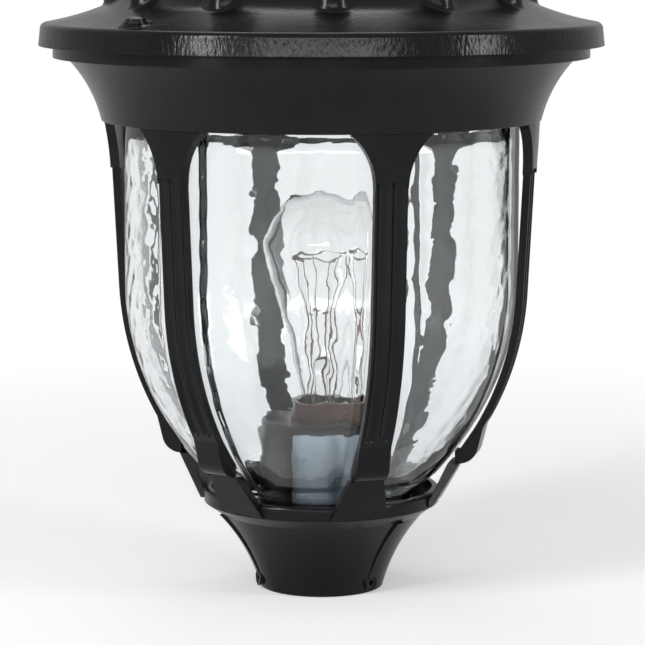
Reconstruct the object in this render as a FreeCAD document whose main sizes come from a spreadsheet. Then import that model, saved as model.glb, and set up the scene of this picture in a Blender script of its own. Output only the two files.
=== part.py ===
import FreeCAD, Part
import math
import os
import re
import Sketcher
from FreeCAD import Placement, Rotation, Vector

# Post top lantern. Millimetres, +Z up, origin at the centre of the post fitter's bottom edge.
# Angles round the lantern are counted from the front (-Y) towards +X.
# Each body is drawn with its radial direction along its own +X and is then turned into place.

SIZES = {
    # Post fitter: a 3 in post slides in from below.
    "post_bore_radius": 38.6,
    "post_bore_land": 18.0,
    "post_stop_height": 48.0,
    "fitter_lip_wall": 3.7,
    "flare_height": 53.0,
    "flare_top_radius": 71.0,
    "flare_arc_radius": 130.0,
    "flare_top_wall": 6.3,
    "post_bore_step": 5.0,
    "post_bore_step_rise": 3.0,
    "post_stop_reach": 4.0,
    "locating_rib_width": 5.0,
    "bead_width": 6.0,
    "bead_proud": 1.7,
    # Bottom ring and floor.
    "chamfer_height": 7.0,
    "ring_radius": 81.0,
    "ring_height": 9.4,
    "ring_wall": 5.0,
    "ring_edge_radius": 2.5,
    "floor_thickness": 4.0,
    "floor_fillet": 4.0,
    # Set screws and their bosses.
    "set_screw_height": 7.2,
    "set_screw_radius": 3.9,
    "set_screw_length": 7.0,
    "set_boss_radius": 5.6,
    "set_socket_width": 4.0,
    "set_socket_depth": 3.5,
    # Lugs on the ring that carry the ribs.
    "lug_rise": 20.6,
    "lug_root_width": 40.0,
    "lug_top_width": 23.0,
    "lug_top_radius": 98.0,
    "lug_depth": 8.0,
    "lug_tongue_setback": 1.5,
    "lug_tongue_width": 11.0,
    "lug_tongue_wall": 2.6,
    "lug_tongue_rise": 8.0,
    # Cage ribs.
    "cage_height": 252.6,
    "rib_width": 22.0,
    "rib_thickness": 5.0,
    "rib_top_radius": 146.3,
    "rib_lean": 2.85,
    "rib_straight": 117.0,
    "rib_arc_radius": 200.0,
    "rib_block_rise": 25.0,
    "rib_block_taper": 4.0,
    "rib_block_rounding": 9.0,
    "rib_block_radius": 13.0,
    "flute_radius": 6.0,
    "flute_depth": 2.2,
    "flute_spacing": 10.2,
    "flute_run_out": 4.0,
    "rib_head_width": 54.0,
    "rib_head_height": 35.0,
    "rib_head_proud": 1.6,
    "rib_head_cove": 44.0,
    "rib_tongue_width": 16.0,
    "rib_tongue_wall": 3.5,
    "rib_tongue_rise": 14.0,
    "rib_tongue_root": 6.0,
    # Collar.
    "collar_lip_wall": 4.2,
    "collar_lip_overhang": 0.9,
    "cove_height": 42.4,
    "cove_radius": 90.0,
    "collar_neck_radius": 172.0,
    "collar_rim_radius": 181.0,
    "collar_rim_height": 8.0,
    "collar_wall": 8.0,
    "collar_mouth_radius": 161.2,
    # Glass.
    "glass_wall": 6.2,
    "glass_row_sag": 0.2,
    "glass_cage_gap": 4.3,
    "glass_lobe_rise": 6.0,
    "glass_knee_lobe": 8.5,
    "glass_foot_radius": 62.0,
    "glass_foot_rise": 6.5,
    "glass_floor_reach": 5.5,
    "glass_floor_rise": 11.6,
    "glass_knee_rise": 18.0,
    "glass_rim_rise": 8.0,
    "glass_rim_fade": 23.0,
    "gasket_thickness": 2.0,
    "gasket_width": 7.0,
    "clip_width": 12.0,
    "clip_sheet": 1.5,
    "clip_leg": 13.0,
    "clip_reach": 3.5,
    "clip_screw_edge": 4.0,
    # Small screws that join ribs, collar, lugs and clips.
    "joint_screw_radius": 1.95,
    "joint_head_radius": 3.5,
    "joint_head_height": 2.2,
    "joint_screw_bite": 4.2,
    "countersink_depth": 1.6,
    # Roof.
    "roof_radius": 190.5,
    "roof_rim_height": 15.0,
    "roof_wall": 4.5,
    "roof_edge_radius": 4.0,
    "brim_inner_radius": 150.0,
    "brim_rise": 10.0,
    "brim_arc_radius": 200.0,
    "dome_foot_cove": 31.0,
    "dome_centre_radius": 21.5,
    "dome_centre_drop": 70.7,
    "dome_arc_radius": 140.0,
    "dome_foot_angle": 35.2,
    "dome_top_angle": 74.9,
    "crown_bead_radius": 4.6,
    "crown_bead_width": 8.0,
    "crown_bead_rise": 4.0,
    "neck_radius": 18.0,
    "neck_rise": 24.5,
    "neck_cove_radius": 34.0,
    "neck_floor": 6.0,
    "roof_seat_radius": 170.0,
    "roof_seat_wall": 6.0,
    "roof_channel_rise": 4.0,
    "petal_count": 12,
    "petal_tip_radius": 148.0,
    "petal_radius": 14.5,
    "petal_top_radius": 8.5,
    "petal_sink": 5.0,
    "petal_top_angle": 71.9,
    # Roof gasket and roof screws.
    "roof_gasket_width": 3.4,
    "roof_gasket_depth": 1.8,
    "roof_screw_place": 175.0,
    "roof_screw_radius": 2.4,
    "roof_screw_bite": 6.0,
    "roof_screw_head": 6.6,
    "roof_screw_flange": 8.0,
    "roof_screw_flange_height": 1.2,
    "roof_screw_dome": 3.6,
    "roof_pad_radius": 8.6,
    "roof_pad_rise": 3.6,
    # Finial.
    "finial_foot_radius": 17.0,
    "finial_foot_height": 5.0,
    "finial_waist_radius": 8.0,
    "finial_waist_height": 10.0,
    "finial_ball_radius": 19.0,
    "finial_tip_radius": 3.0,
    "finial_tip_height": 5.0,
    "finial_thread_depth": 14.0,
    "stud_radius": 3.0,
    "stud_nut_width": 10.0,
    "stud_nut_height": 5.0,
    "stud_washer_radius": 8.0,
    "stud_washer_thickness": 1.5,
    # Lampholder, its cup and its hollow stem.
    "nipple_radius": 4.8,
    "nipple_bore": 3.4,
    "nipple_drop": 7.0,
    "nipple_nut_width": 16.0,
    "nipple_nut_height": 4.0,
    "nipple_washer_radius": 10.0,
    "nipple_washer_thickness": 1.5,
    "nipple_engagement": 5.0,
    "holder_rise": 26.0,
    "holder_radius": 18.6,
    "holder_rim_radius": 21.0,
    "holder_rim_height": 12.0,
    "holder_floor": 8.5,
    "holder_mouth_radius": 17.2,
    "cup_radius": 43.0,
    "cup_height": 58.0,
    "cup_sheet": 1.2,
    "cup_shoulder": 5.0,
    "shell_wall": 0.6,
    "shell_height": 25.0,
    "contact_radius": 4.0,
    "contact_thickness": 2.2,
    # Lamp.
    "lamp_base_radius": 13.0,
    "lamp_base_sheet": 0.6,
    "lamp_base_height": 20.0,
    "lamp_insulator_height": 4.0,
    "lamp_insulator_radius": 6.0,
    "lamp_contact_radius": 4.6,
    "lamp_contact_height": 1.6,
    "lamp_length": 176.0,
    "lamp_bulb_radius": 39.5,
    "lamp_neck_radius": 12.2,
    "lamp_join_angle": 20.0,
    "lamp_taper_radius": 517.0,
    "lamp_glass": 0.8,
    "lamp_neck_depth": 5.0,
    "lamp_neck_rise": 1.5,
    "lamp_stem_radius": 5.5,
    "lamp_stem_flare": 14.0,
    "lamp_stem_press": 5.0,
    "lamp_stem_height": 62.0,
    "lamp_filament_height": 132.0,
    "lamp_filament_width": 38.0,
    "lamp_wire_radius": 0.6,
    "lamp_filament_radius": 0.8,
    "ground_screw_place": 28.0,
    # Clearances.
    "running_clearance": 0.08,
    "free_clearance": 0.3,
    "hole_clearance": 0.4,
    "slip_clearance": 0.1,
    # How far a cut, or a shape joined to another, runs past the face it meets.
    "overrun_length": 1.0,
}

RIBS = 6
BEADS = 3
RIB_STEP = 360.0 / RIBS
BEAD_STEP = 360.0 / BEADS
BEAD_ANGLE = 30.0
ROOF_SCREW_ANGLES = (-60.0, 120.0)
PETAL_ANGLE = 15.0
PETAL_STATIONS = 6
FILAMENT_SUPPORTS = 6
FILAMENT_SWEEP = 300.0

doc = FreeCAD.newDocument("post_top_lantern")
sheet = doc.addObject("Spreadsheet::Sheet", "Dims")
for row, (alias, number) in enumerate(SIZES.items(), 1):
    sheet.set(f"A{row}", alias)
    sheet.set(f"B{row}", str(number))
    sheet.setAlias(f"B{row}", alias)
doc.recompute()

ALIAS = re.compile(r"\b([a-z]+(?:_[a-z]+)+)\b")

# Heights and radii that follow from the driving sizes, written with the sheet's own names.
FLOOR_TOP = "(flare_height + chamfer_height)"
FLOOR_UNDER = f"({FLOOR_TOP} - floor_thickness)"
RING_TOP = f"({FLOOR_TOP} + ring_height)"
RING_INNER = "(ring_radius - ring_wall)"
LUG_TOP = f"({RING_TOP} + lug_rise)"
LUG_INNER = "(lug_top_radius - lug_depth)"
LUG_TONGUE_OUTER = "(lug_top_radius - lug_tongue_setback)"
LUG_TONGUE_INNER = f"({LUG_TONGUE_OUTER} - lug_tongue_wall)"
SET_BOSS_FACE = "(post_bore_radius + set_screw_length + hole_clearance)"
CAGE_TOP = f"({RING_TOP} + cage_height)"
RIB_TAN = "tan(rib_lean * 1deg)"
ARC_TOP_RADIUS = f"(rib_top_radius - rib_straight * {RIB_TAN})"
ARC_TOP = f"({CAGE_TOP} - rib_straight)"
ARC_CENTRE_RADIUS = f"({ARC_TOP_RADIUS} - rib_arc_radius * cos(rib_lean * 1deg))"
ARC_CENTRE = f"({ARC_TOP} + rib_arc_radius * sin(rib_lean * 1deg))"
BLOCK_TOP = f"({LUG_TOP} + rib_block_rise)"
BLOCK_FACE = (f"({ARC_CENTRE_RADIUS} + sqrt(rib_arc_radius ^ 2 - ({ARC_CENTRE} - {BLOCK_TOP}) ^ 2))")
BLOCK_FOOT = f"({BLOCK_FACE} - rib_block_taper)"
RIB_HEAD_FACE = "(rib_top_radius + rib_head_proud)"
LIP_OUTER = f"({RIB_HEAD_FACE} + collar_lip_overhang)"
LIP_INNER = f"({LIP_OUTER} - collar_lip_wall)"
COVE_TOP = f"({CAGE_TOP} + cove_height)"
COLLAR_TOP = f"({COVE_TOP} + collar_rim_height)"
GLASS_FOOT = f"({FLOOR_TOP} + gasket_thickness)"
GLASS_TOP = f"({CAGE_TOP} + glass_rim_rise)"
GLASS_RIM = f"({ARC_TOP_RADIUS} - rib_thickness - glass_cage_gap)"
CLIP_SCREW = f"({GLASS_TOP} + clip_leg - clip_screw_edge)"
ROOF_SHOULDER = f"({COLLAR_TOP} + roof_rim_height)"
BRIM_TOP = f"({ROOF_SHOULDER} + brim_rise)"
DOME_CENTRE = f"({BRIM_TOP} - dome_centre_drop)"
DOME_FOOT_RADIUS = "(dome_centre_radius + dome_arc_radius * cos(dome_foot_angle * 1deg))"
DOME_FOOT = f"({DOME_CENTRE} + dome_arc_radius * sin(dome_foot_angle * 1deg))"
DOME_TOP_RADIUS = "(dome_centre_radius + dome_arc_radius * cos(dome_top_angle * 1deg))"
DOME_TOP = f"({DOME_CENTRE} + dome_arc_radius * sin(dome_top_angle * 1deg))"
NECK_TOP = f"({DOME_TOP} + neck_rise)"
NECK_UNDER = f"({NECK_TOP} - neck_floor)"
PAD_TOP = f"({ROOF_SHOULDER} + roof_pad_rise)"
HOLDER_UNDER = f"({FLOOR_TOP} + holder_rise)"
HOLDER_FLOOR = f"({HOLDER_UNDER} + holder_floor)"
CUP_TOP = f"({FLOOR_TOP} + cup_height)"
HOLDER_TOP = f"({CUP_TOP} + holder_rim_height)"
SHELL_INNER = "(lamp_base_radius + running_clearance)"
CONTACT_TOP = f"({HOLDER_FLOOR} + contact_thickness)"
LAMP_FOOT = f"({CONTACT_TOP} + free_clearance)"
LAMP_TOP = f"({LAMP_FOOT} + lamp_length)"


def bound(text):
    """An expression for a property: bare size names become cells of the sheet."""
    return ALIAS.sub(r"Dims.\1", text)


def size(text):
    """The number that an expression gives with the sheet's present values."""
    return float(sheet.evalExpression(bound(text)))


def turned(angle, height=0.0):
    """A placement that turns a body's own +X to this angle round the lantern."""
    return Placement(Vector(0, 0, height), Rotation(Vector(0, 0, 1), angle - 90.0))


def new_body(label, angle=90.0):
    """A body with its node's name, turned to its angle round the lantern."""
    body = doc.addObject("PartDesign::Body", label)
    body.Label = label
    body.Placement = turned(angle)
    return body


def new_sketch(body, plane, turn=0.0, lift="0"):
    """A sketch on one of the body's origin planes, turned about its upright, then lifted."""
    sketch = body.newObject("Sketcher::SketchObject", "Sketch")
    origin_plane = next(item for item in body.Origin.OriginFeatures if item.Role == plane)
    sketch.AttachmentSupport = [(origin_plane, "")]
    sketch.MapMode = "FlatFace"
    places = (f"({lift}) * sin({turn}deg)", "0", f"({lift}) * cos({turn}deg)")
    base = Vector(*(size(text) for text in places))
    sketch.AttachmentOffset = Placement(base, Rotation(Vector(0, 1, 0), turn))
    for axis, text in zip("xyz", places):
        sketch.setExpression(f"AttachmentOffset.Base.{axis}", bound(text))
    return sketch


def pin_point(sketch, geometry, end, place):
    """Hold one point of a sketch at a place given by two expressions."""
    for kind, axis, text in (("DistanceX", -2, place[0]), ("DistanceY", -1, place[1])):
        if text == "0":
            sketch.addConstraint(Sketcher.Constraint("PointOnObject", geometry, end, axis))
            continue
        index = sketch.addConstraint(Sketcher.Constraint(kind, -1, 1, geometry, end, size(text)))
        sketch.setExpression(f"Constraints[{index}]", bound(text))


def arc_between(start, finish, radius, turn):
    """The arc under a half circle from start to finish; turn is 1 anticlockwise, -1 clockwise."""
    chord = finish - start
    side = Vector(-chord.y, chord.x, 0).normalize() * turn
    rise = math.sqrt(radius ** 2 - (chord.Length / 2) ** 2)
    centre = (start + finish) * 0.5 + side * rise
    first, last = (start, finish) if turn > 0 else (finish, start)
    angles = [math.atan2(point.y - centre.y, point.x - centre.x) for point in (first, last)]
    if angles[1] < angles[0]:
        angles[1] += 2 * math.pi
    return Part.ArcOfCircle(Part.Circle(centre, Vector(0, 0, 1), radius), *angles)


def outline(sketch, places):
    """A closed outline. A place is (x, y) or (x, y, radius, turn) where an arc leaves it."""
    corners = [Vector(size(place[0]), size(place[1]), 0) for place in places]
    ends = []
    for index, place in enumerate(places):
        start = corners[index]
        finish = corners[(index + 1) % len(corners)]
        if len(place) == 2:
            geometry = sketch.addGeometry(Part.LineSegment(start, finish))
        else:
            geometry = sketch.addGeometry(arc_between(start, finish, size(place[2]), place[3]))
        first = 1 if sketch.getPoint(geometry, 1).distanceToPoint(start) < 1e-6 else 2
        ends.append((geometry, first, 3 - first))
    for index, place in enumerate(places):
        following = ends[(index + 1) % len(ends)]
        joint = (ends[index][0], ends[index][2], following[0], following[1])
        sketch.addConstraint(Sketcher.Constraint("Coincident", *joint))
        pin_point(sketch, ends[index][0], ends[index][1], place)
        if len(place) > 2:
            value = size(place[2])
            radius = sketch.addConstraint(Sketcher.Constraint("Radius", ends[index][0], value))
            sketch.setExpression(f"Constraints[{radius}]", bound(place[2]))
    return sketch


def circle(sketch, place, radius):
    """A circle held at its centre and by its radius."""
    centre = Vector(size(place[0]), size(place[1]), 0)
    ring = Part.Circle(centre, Vector(0, 0, 1), size(radius))
    geometry = sketch.addGeometry(ring)
    pin_point(sketch, geometry, 3, place)
    index = sketch.addConstraint(Sketcher.Constraint("Radius", geometry, size(radius)))
    sketch.setExpression(f"Constraints[{index}]", bound(radius))
    return sketch


def rectangle(sketch, low, high):
    """An upright rectangle between two corners."""
    return outline(sketch, [low, (high[0], low[1]), high, (low[0], high[1])])


def add(body, kind):
    """A new feature of a body. Faces stay as made: merging them breaks the flare's surface."""
    item = body.newObject(f"PartDesign::{kind}", kind)
    item.Refine = False
    return item


def feature(body, kind, sketch):
    """A feature that uses one sketch."""
    item = add(body, kind)
    item.Profile = sketch
    return item


def revolve(body, sketch, kind="Revolution", angle=None):
    """Turn a sketch about its upright axis, all round or over an angle about its own plane."""
    item = feature(body, kind, sketch)
    item.ReferenceAxis = (sketch, ["V_Axis"])
    item.Angle = 360.0
    if angle is not None:
        item.Midplane = True
        item.Angle = size(angle)
        item.setExpression("Angle", bound(angle))
    return item


def pad(body, sketch, length, kind="Pad"):
    """Raise a sketch, or cut with it, by half the length to each side of its plane."""
    item = feature(body, kind, sketch)
    item.SideType = "Symmetric"
    item.Length = size(length)
    item.setExpression("Length", bound(length))
    return item


def loft(body, sketches):
    """A solid that passes through several sketches, straight from each to the next."""
    item = feature(body, "AdditiveLoft", sketches[0])
    item.Ruled = True
    item.Sections = sketches[1:]
    return item


def primitive(body, kind, sizes, place, turn=None):
    """An additive or subtractive primitive; sizes and place are expressions."""
    item = add(body, kind)
    for name, text in sizes.items():
        setattr(item, name, size(text))
        item.setExpression(name, bound(text))
    base = Vector(*(size(text) for text in place))
    item.Placement = Placement(base, turn or Rotation())
    for axis, text in zip("xyz", place):
        item.setExpression(f"Placement.Base.{axis}", bound(text))
    return item


def polar(body, features, count):
    """Repeat features all round the body's upright axis."""
    pattern = add(body, "PolarPattern")
    pattern.Originals = features
    upright = next(item for item in body.Origin.OriginFeatures if item.Role == "Z_Axis")
    pattern.Axis = (upright, [""])
    pattern.Angle = 360.0
    pattern.Occurrences = count
    body.Tip = pattern
    return pattern


def radial_turn(angle=0.0):
    """Turn a primitive's own upright axis to point outwards at an angle from the body's +X."""
    return Rotation(Vector(0, 0, 1), angle) * Rotation(Vector(0, 1, 0), 90)


def around(body, kind, sizes, radius, height, first, count, upright=False):
    """The same primitive at equal steps round the body, pointing outwards or upright."""
    for number in range(count):
        angle = first + 360.0 / count * number
        place = (f"({radius}) * cos({angle}deg)", f"({radius}) * sin({angle}deg)", height)
        primitive(body, kind, sizes, place, None if upright else radial_turn(angle))


def ball(body, radius, across, height):
    """A ball on the body's XZ plane, as a half disc turned about the sketch's own upright."""
    sketch = new_sketch(body, "XZ_Plane")
    sketch.AttachmentOffset = Placement(Vector(size(across), size(height), 0), Rotation())
    sketch.setExpression("AttachmentOffset.Base.x", bound(across))
    sketch.setExpression("AttachmentOffset.Base.y", bound(height))
    sketch.setExpression("AttachmentOffset.Base.z", "0")
    outline(sketch, [("0", f"-({radius})", radius, 1), (radius, "0", radius, 1), ("0", radius)])
    return revolve(body, sketch)


def revolved_body(label, places, angle=90.0):
    """A body of one revolved outline."""
    body = new_body(label, angle)
    revolve(body, outline(new_sketch(body, "XZ_Plane"), places))
    return body


def group(label, piece, placements):
    """Identical fasteners as one node of separate solids, copied from a hidden pattern piece."""
    doc.recompute()
    copies = []
    for placement in placements:
        copy = piece.Shape.copy()
        copy.Placement = placement.multiply(copy.Placement)
        copies.append(copy)
    node = doc.addObject("Part::Feature", label)
    node.Label = label
    node.Shape = Part.makeCompound(copies)
    return node


def base_casting():
    """Fitter, flare, ring and floor in one casting, with lugs, beads, bosses and post stops."""
    body = new_body("base_casting", 0.0)
    flare_inner_top = "(flare_top_radius - flare_top_wall)"
    revolve(body, outline(new_sketch(body, "XZ_Plane"), [
        ("post_bore_radius", "0"),
        ("post_bore_radius + fitter_lip_wall", "0", "flare_arc_radius", -1),
        ("flare_top_radius", "flare_height"),
        ("ring_radius", FLOOR_TOP),
        ("ring_radius", f"{RING_TOP} - ring_edge_radius", "ring_edge_radius", 1),
        ("ring_radius - ring_edge_radius", RING_TOP),
        (RING_INNER, RING_TOP),
        (RING_INNER, FLOOR_TOP),
        ("nipple_radius + hole_clearance", FLOOR_TOP),
        ("nipple_radius + hole_clearance", FLOOR_UNDER),
        (f"{flare_inner_top} - floor_fillet / 2", FLOOR_UNDER),
        (flare_inner_top, f"{FLOOR_UNDER} - floor_fillet", "flare_arc_radius", 1),
        ("post_bore_radius + post_bore_step", "post_bore_land + post_bore_step_rise"),
        ("post_bore_radius", "post_bore_land"),
    ]))
    root = rectangle(new_sketch(body, "XY_Plane", lift=f"{FLOOR_TOP} + overrun_length"),
                     (f"{RING_INNER} + overrun_length / 2", "-lug_root_width / 2"),
                     ("ring_radius", "lug_root_width / 2"))
    shoulder = rectangle(new_sketch(body, "XY_Plane", lift=LUG_TOP),
                         (LUG_INNER, "-lug_top_width / 2"),
                         ("lug_top_radius", "lug_top_width / 2"))
    wedge = loft(body, [root, shoulder])
    tongue = pad(body, rectangle(new_sketch(body, "XZ_Plane"),
                                 (LUG_TONGUE_INNER, f"{LUG_TOP} - overrun_length"),
                                 (LUG_TONGUE_OUTER, f"{LUG_TOP} + lug_tongue_rise")),
                 "lug_tongue_width")
    polar(body, [wedge, tongue], RIBS)
    stop = pad(body, outline(new_sketch(body, "XZ_Plane"), [
        ("post_bore_radius", "post_bore_land - overrun_length"),
        ("post_bore_radius + fitter_lip_wall * 2", "post_bore_land - overrun_length"),
        (flare_inner_top, "post_stop_height"),
        (flare_inner_top, f"{FLOOR_UNDER} + overrun_length"),
        ("post_bore_radius - post_stop_reach", f"{FLOOR_UNDER} + overrun_length"),
        ("post_bore_radius - post_stop_reach", "post_stop_height"),
        ("post_bore_radius", "post_stop_height"),
    ]), "locating_rib_width")
    polar(body, [stop], RIBS)
    bead = pad(body, outline(new_sketch(body, "XZ_Plane", turn=BEAD_ANGLE), [
        ("post_bore_radius + fitter_lip_wall - overrun_length", "set_screw_height"),
        (f"{SET_BOSS_FACE} - overrun_length", "set_screw_height", "flare_arc_radius", -1),
        ("flare_top_radius + bead_proud", "flare_height - overrun_length / 2"),
        ("flare_top_radius - bead_width / 2", "flare_height"),
    ]), "bead_width")
    polar(body, [bead], BEADS)
    around(body, "AdditiveCylinder",
           {"Radius": "set_boss_radius", "Height": f"{SET_BOSS_FACE} - post_bore_radius - overrun_length"},
           "post_bore_radius + overrun_length", "set_screw_height", BEAD_ANGLE, BEADS)
    around(body, "SubtractiveCylinder",
           {"Radius": "set_screw_radius + running_clearance",
            "Height": f"{SET_BOSS_FACE} - post_bore_radius + set_boss_radius * 2"},
           "post_bore_radius - set_boss_radius", "set_screw_height", BEAD_ANGLE, BEADS)
    foot_screw = f"{LUG_TOP} + lug_tongue_rise / 2"
    around(body, "SubtractiveCylinder",
           {"Radius": "joint_screw_radius + hole_clearance",
            "Height": "lug_tongue_wall + overrun_length * 2"},
           f"{LUG_TONGUE_INNER} - overrun_length", foot_screw, 0.0, RIBS)
    around(body, "SubtractiveCone",
           {"Radius1": "joint_head_radius + hole_clearance / 2",
            "Radius2": "joint_screw_radius + hole_clearance", "Height": "countersink_depth"},
           LUG_TONGUE_INNER, foot_screw, 0.0, RIBS)
    primitive(body, "SubtractiveCylinder",
              {"Radius": "joint_screw_radius + running_clearance",
               "Height": "floor_thickness + overrun_length * 2"},
              ("ground_screw_place", "0", f"{FLOOR_UNDER} - overrun_length"))
    return body


def rib(number):
    """One fluted cage rib: curved bar, flared head with its tongue, and end block."""
    body = new_body(f"rib_{number}", RIB_STEP * (number - 1))
    thick = f"(rib_thickness / cos(rib_lean * 1deg))"
    inner_end = f"({ARC_CENTRE_RADIUS} + sqrt((rib_arc_radius - rib_thickness) ^ 2" \
                f" - ({ARC_CENTRE} - {BLOCK_TOP}) ^ 2))"
    block_inner = f"({LUG_TONGUE_OUTER} + free_clearance)"
    pad(body, outline(new_sketch(body, "XZ_Plane"), [
        ("rib_top_radius", CAGE_TOP),
        (ARC_TOP_RADIUS, ARC_TOP, "rib_arc_radius", -1),
        (BLOCK_FACE, BLOCK_TOP),
        (BLOCK_FOOT, f"{LUG_TOP} + rib_block_rounding", "rib_block_radius", -1),
        ("lug_top_radius", LUG_TOP),
        (block_inner, LUG_TOP),
        (block_inner, f"{LUG_TOP} + lug_tongue_rise"),
        (inner_end, BLOCK_TOP, "rib_arc_radius - rib_thickness", 1),
        (f"{ARC_TOP_RADIUS} - rib_thickness * cos(rib_lean * 1deg)",
         f"{ARC_TOP} + rib_thickness * sin(rib_lean * 1deg)"),
        (f"rib_top_radius - {thick}", CAGE_TOP),
    ]), "rib_width")
    head_foot = f"({CAGE_TOP} - rib_head_height)"
    head_foot_radius = f"({RIB_HEAD_FACE} - rib_head_height * {RIB_TAN})"
    revolve(body, outline(new_sketch(body, "XZ_Plane"), [
        (f"rib_top_radius - {thick}", CAGE_TOP),
        (f"rib_top_radius - {thick} - rib_head_height * {RIB_TAN}", head_foot),
        (head_foot_radius, head_foot),
        (RIB_HEAD_FACE, CAGE_TOP),
    ]), angle="2 * asin(rib_head_width / 2 / rib_top_radius)")
    trim = new_sketch(body, "YZ_Plane")
    for side in ("", "-"):
        outline(trim, [
            (f"{side}rib_width / 2", f"{head_foot} - overrun_length"),
            (f"{side}rib_width / 2", head_foot, "rib_head_cove", 1 if side else -1),
            (f"{side}rib_head_width / 2", f"{CAGE_TOP} - overrun_length"),
            (f"{side}rib_head_width / 2", f"{CAGE_TOP} + overrun_length"),
            (f"{side}rib_head_width", f"{CAGE_TOP} + overrun_length"),
            (f"{side}rib_head_width", f"{head_foot} - overrun_length"),
        ])
    pad(body, trim, f"({RIB_HEAD_FACE} + overrun_length) * 2", "Pocket")
    pad(body, rectangle(new_sketch(body, "XZ_Plane"),
                        (f"{LIP_INNER} - free_clearance - rib_tongue_wall", f"{CAGE_TOP} - rib_tongue_root"),
                        (f"{LIP_INNER} - free_clearance", f"{CAGE_TOP} + rib_tongue_rise")),
        "rib_tongue_width")
    for side in ("", "-"):
        flute(body, side)
    primitive(body, "SubtractiveCylinder",
              {"Radius": "joint_screw_radius + hole_clearance",
               "Height": "rib_tongue_wall + overrun_length * 2"},
              (f"{LIP_INNER} - free_clearance - rib_tongue_wall - overrun_length", "0",
               f"{CAGE_TOP} + rib_tongue_rise / 2"),
              radial_turn())
    primitive(body, "SubtractiveCylinder",
              {"Radius": "joint_screw_radius + running_clearance",
               "Height": "joint_screw_bite + overrun_length"},
              (f"{block_inner} - overrun_length", "0", f"{LUG_TOP} + lug_tongue_rise / 2"), radial_turn())
    return body


def flute(body, side):
    """One round-bottomed flute down the face of a rib, with a round lower end."""
    across = f"{side}flute_spacing / 2"
    stand_off = "(flute_radius - flute_depth)"
    top = f"({CAGE_TOP} - rib_head_height + flute_run_out)"
    top_radius = f"(rib_top_radius + {stand_off} / cos(rib_lean * 1deg)" \
                 f" - ({CAGE_TOP} - {top}) * {RIB_TAN})"
    bend_radius = f"({ARC_CENTRE_RADIUS} + (rib_arc_radius + {stand_off}) * cos(rib_lean * 1deg))"
    bend = f"({ARC_CENTRE} - (rib_arc_radius + {stand_off}) * sin(rib_lean * 1deg))"
    foot = f"({BLOCK_TOP} + flute_radius)"
    foot_radius = f"({ARC_CENTRE_RADIUS} + sqrt((rib_arc_radius + {stand_off}) ^ 2" \
                  f" - ({ARC_CENTRE} - {foot}) ^ 2))"
    path = new_sketch(body, "XZ_Plane", lift=f"-({across})")
    line = path.addGeometry(Part.LineSegment(Vector(size(top_radius), size(top), 0),
                                             Vector(size(bend_radius), size(bend), 0)))
    arc = path.addGeometry(arc_between(Vector(size(bend_radius), size(bend), 0),
                                       Vector(size(foot_radius), size(foot), 0),
                                       size(f"rib_arc_radius + {stand_off}"), -1))
    near = 1 if path.getPoint(arc, 1).y > path.getPoint(arc, 2).y else 2
    path.addConstraint(Sketcher.Constraint("Coincident", line, 2, arc, near))
    pin_point(path, line, 1, (top_radius, top))
    pin_point(path, line, 2, (bend_radius, bend))
    pin_point(path, arc, 3 - near, (foot_radius, foot))
    bend_size = path.addConstraint(Sketcher.Constraint("Radius", arc, size(f"rib_arc_radius + {stand_off}")))
    path.setExpression(f"Constraints[{bend_size}]", bound(f"rib_arc_radius + {stand_off}"))
    section = circle(new_sketch(body, "XY_Plane", lift=top), (top_radius, across), "flute_radius")
    cut = add(body, "SubtractivePipe")
    cut.Profile = section
    cut.Spine = (path, [""])
    primitive(body, "SubtractiveSphere", {"Radius": "flute_radius"}, (foot_radius, across, foot))


def collar():
    """Coved collar: a thin lip over the rib heads, the cove, and the flat rim under the roof."""
    body = new_body("collar", 0.0)
    groove_middle = "(roof_seat_radius - roof_seat_wall / 2)"
    groove_half = "(roof_gasket_width / 2 + slip_clearance)"
    revolve(body, outline(new_sketch(body, "XZ_Plane"), [
        (LIP_INNER, CAGE_TOP),
        (LIP_OUTER, CAGE_TOP, "cove_radius", -1),
        ("collar_neck_radius", COVE_TOP),
        ("collar_rim_radius", COVE_TOP),
        ("collar_rim_radius", COLLAR_TOP),
        (f"{groove_middle} + {groove_half}", COLLAR_TOP),
        (f"{groove_middle} + {groove_half}", f"{COLLAR_TOP} - roof_gasket_depth"),
        (f"{groove_middle} - {groove_half}", f"{COLLAR_TOP} - roof_gasket_depth"),
        (f"{groove_middle} - {groove_half}", COLLAR_TOP),
        ("collar_mouth_radius", COLLAR_TOP),
        ("collar_mouth_radius", f"{COLLAR_TOP} - collar_wall", "cove_radius + collar_wall", 1),
        (LIP_INNER, f"{CAGE_TOP} + rib_tongue_rise + rib_tongue_root"),
    ]))
    drill = {"Radius": "joint_screw_radius + running_clearance",
             "Height": "joint_screw_bite + overrun_length"}
    start = f"{LIP_INNER} - overrun_length"
    around(body, "SubtractiveCylinder", drill, start,
           f"{CAGE_TOP} + rib_tongue_rise / 2", 0.0, RIBS)
    around(body, "SubtractiveCylinder", drill, start, CLIP_SCREW, BEAD_ANGLE, BEADS)
    around(body, "SubtractiveCylinder",
           {"Radius": "roof_screw_radius + running_clearance",
            "Height": "roof_screw_bite + overrun_length * 2"},
           "roof_screw_place", f"{COLLAR_TOP} - roof_screw_bite - overrun_length",
           ROOF_SCREW_ANGLES[0], len(ROOF_SCREW_ANGLES), upright=True)
    return body


def glass_outline(height, radius, rise):
    """A closed six-lobed line at one height: grooves behind the ribs, crests between them."""
    edges = []
    for number in range(RIBS):
        places = []
        for share, reach in ((0.0, radius), (0.5, radius + rise), (1.0, radius)):
            angle = math.radians(RIB_STEP * (number + share) - 90.0)
            places.append(Vector(reach * math.cos(angle), reach * math.sin(angle), height))
        edges.append(Part.Arc(*places).toShape())
    return Part.Wire(edges)


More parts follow.
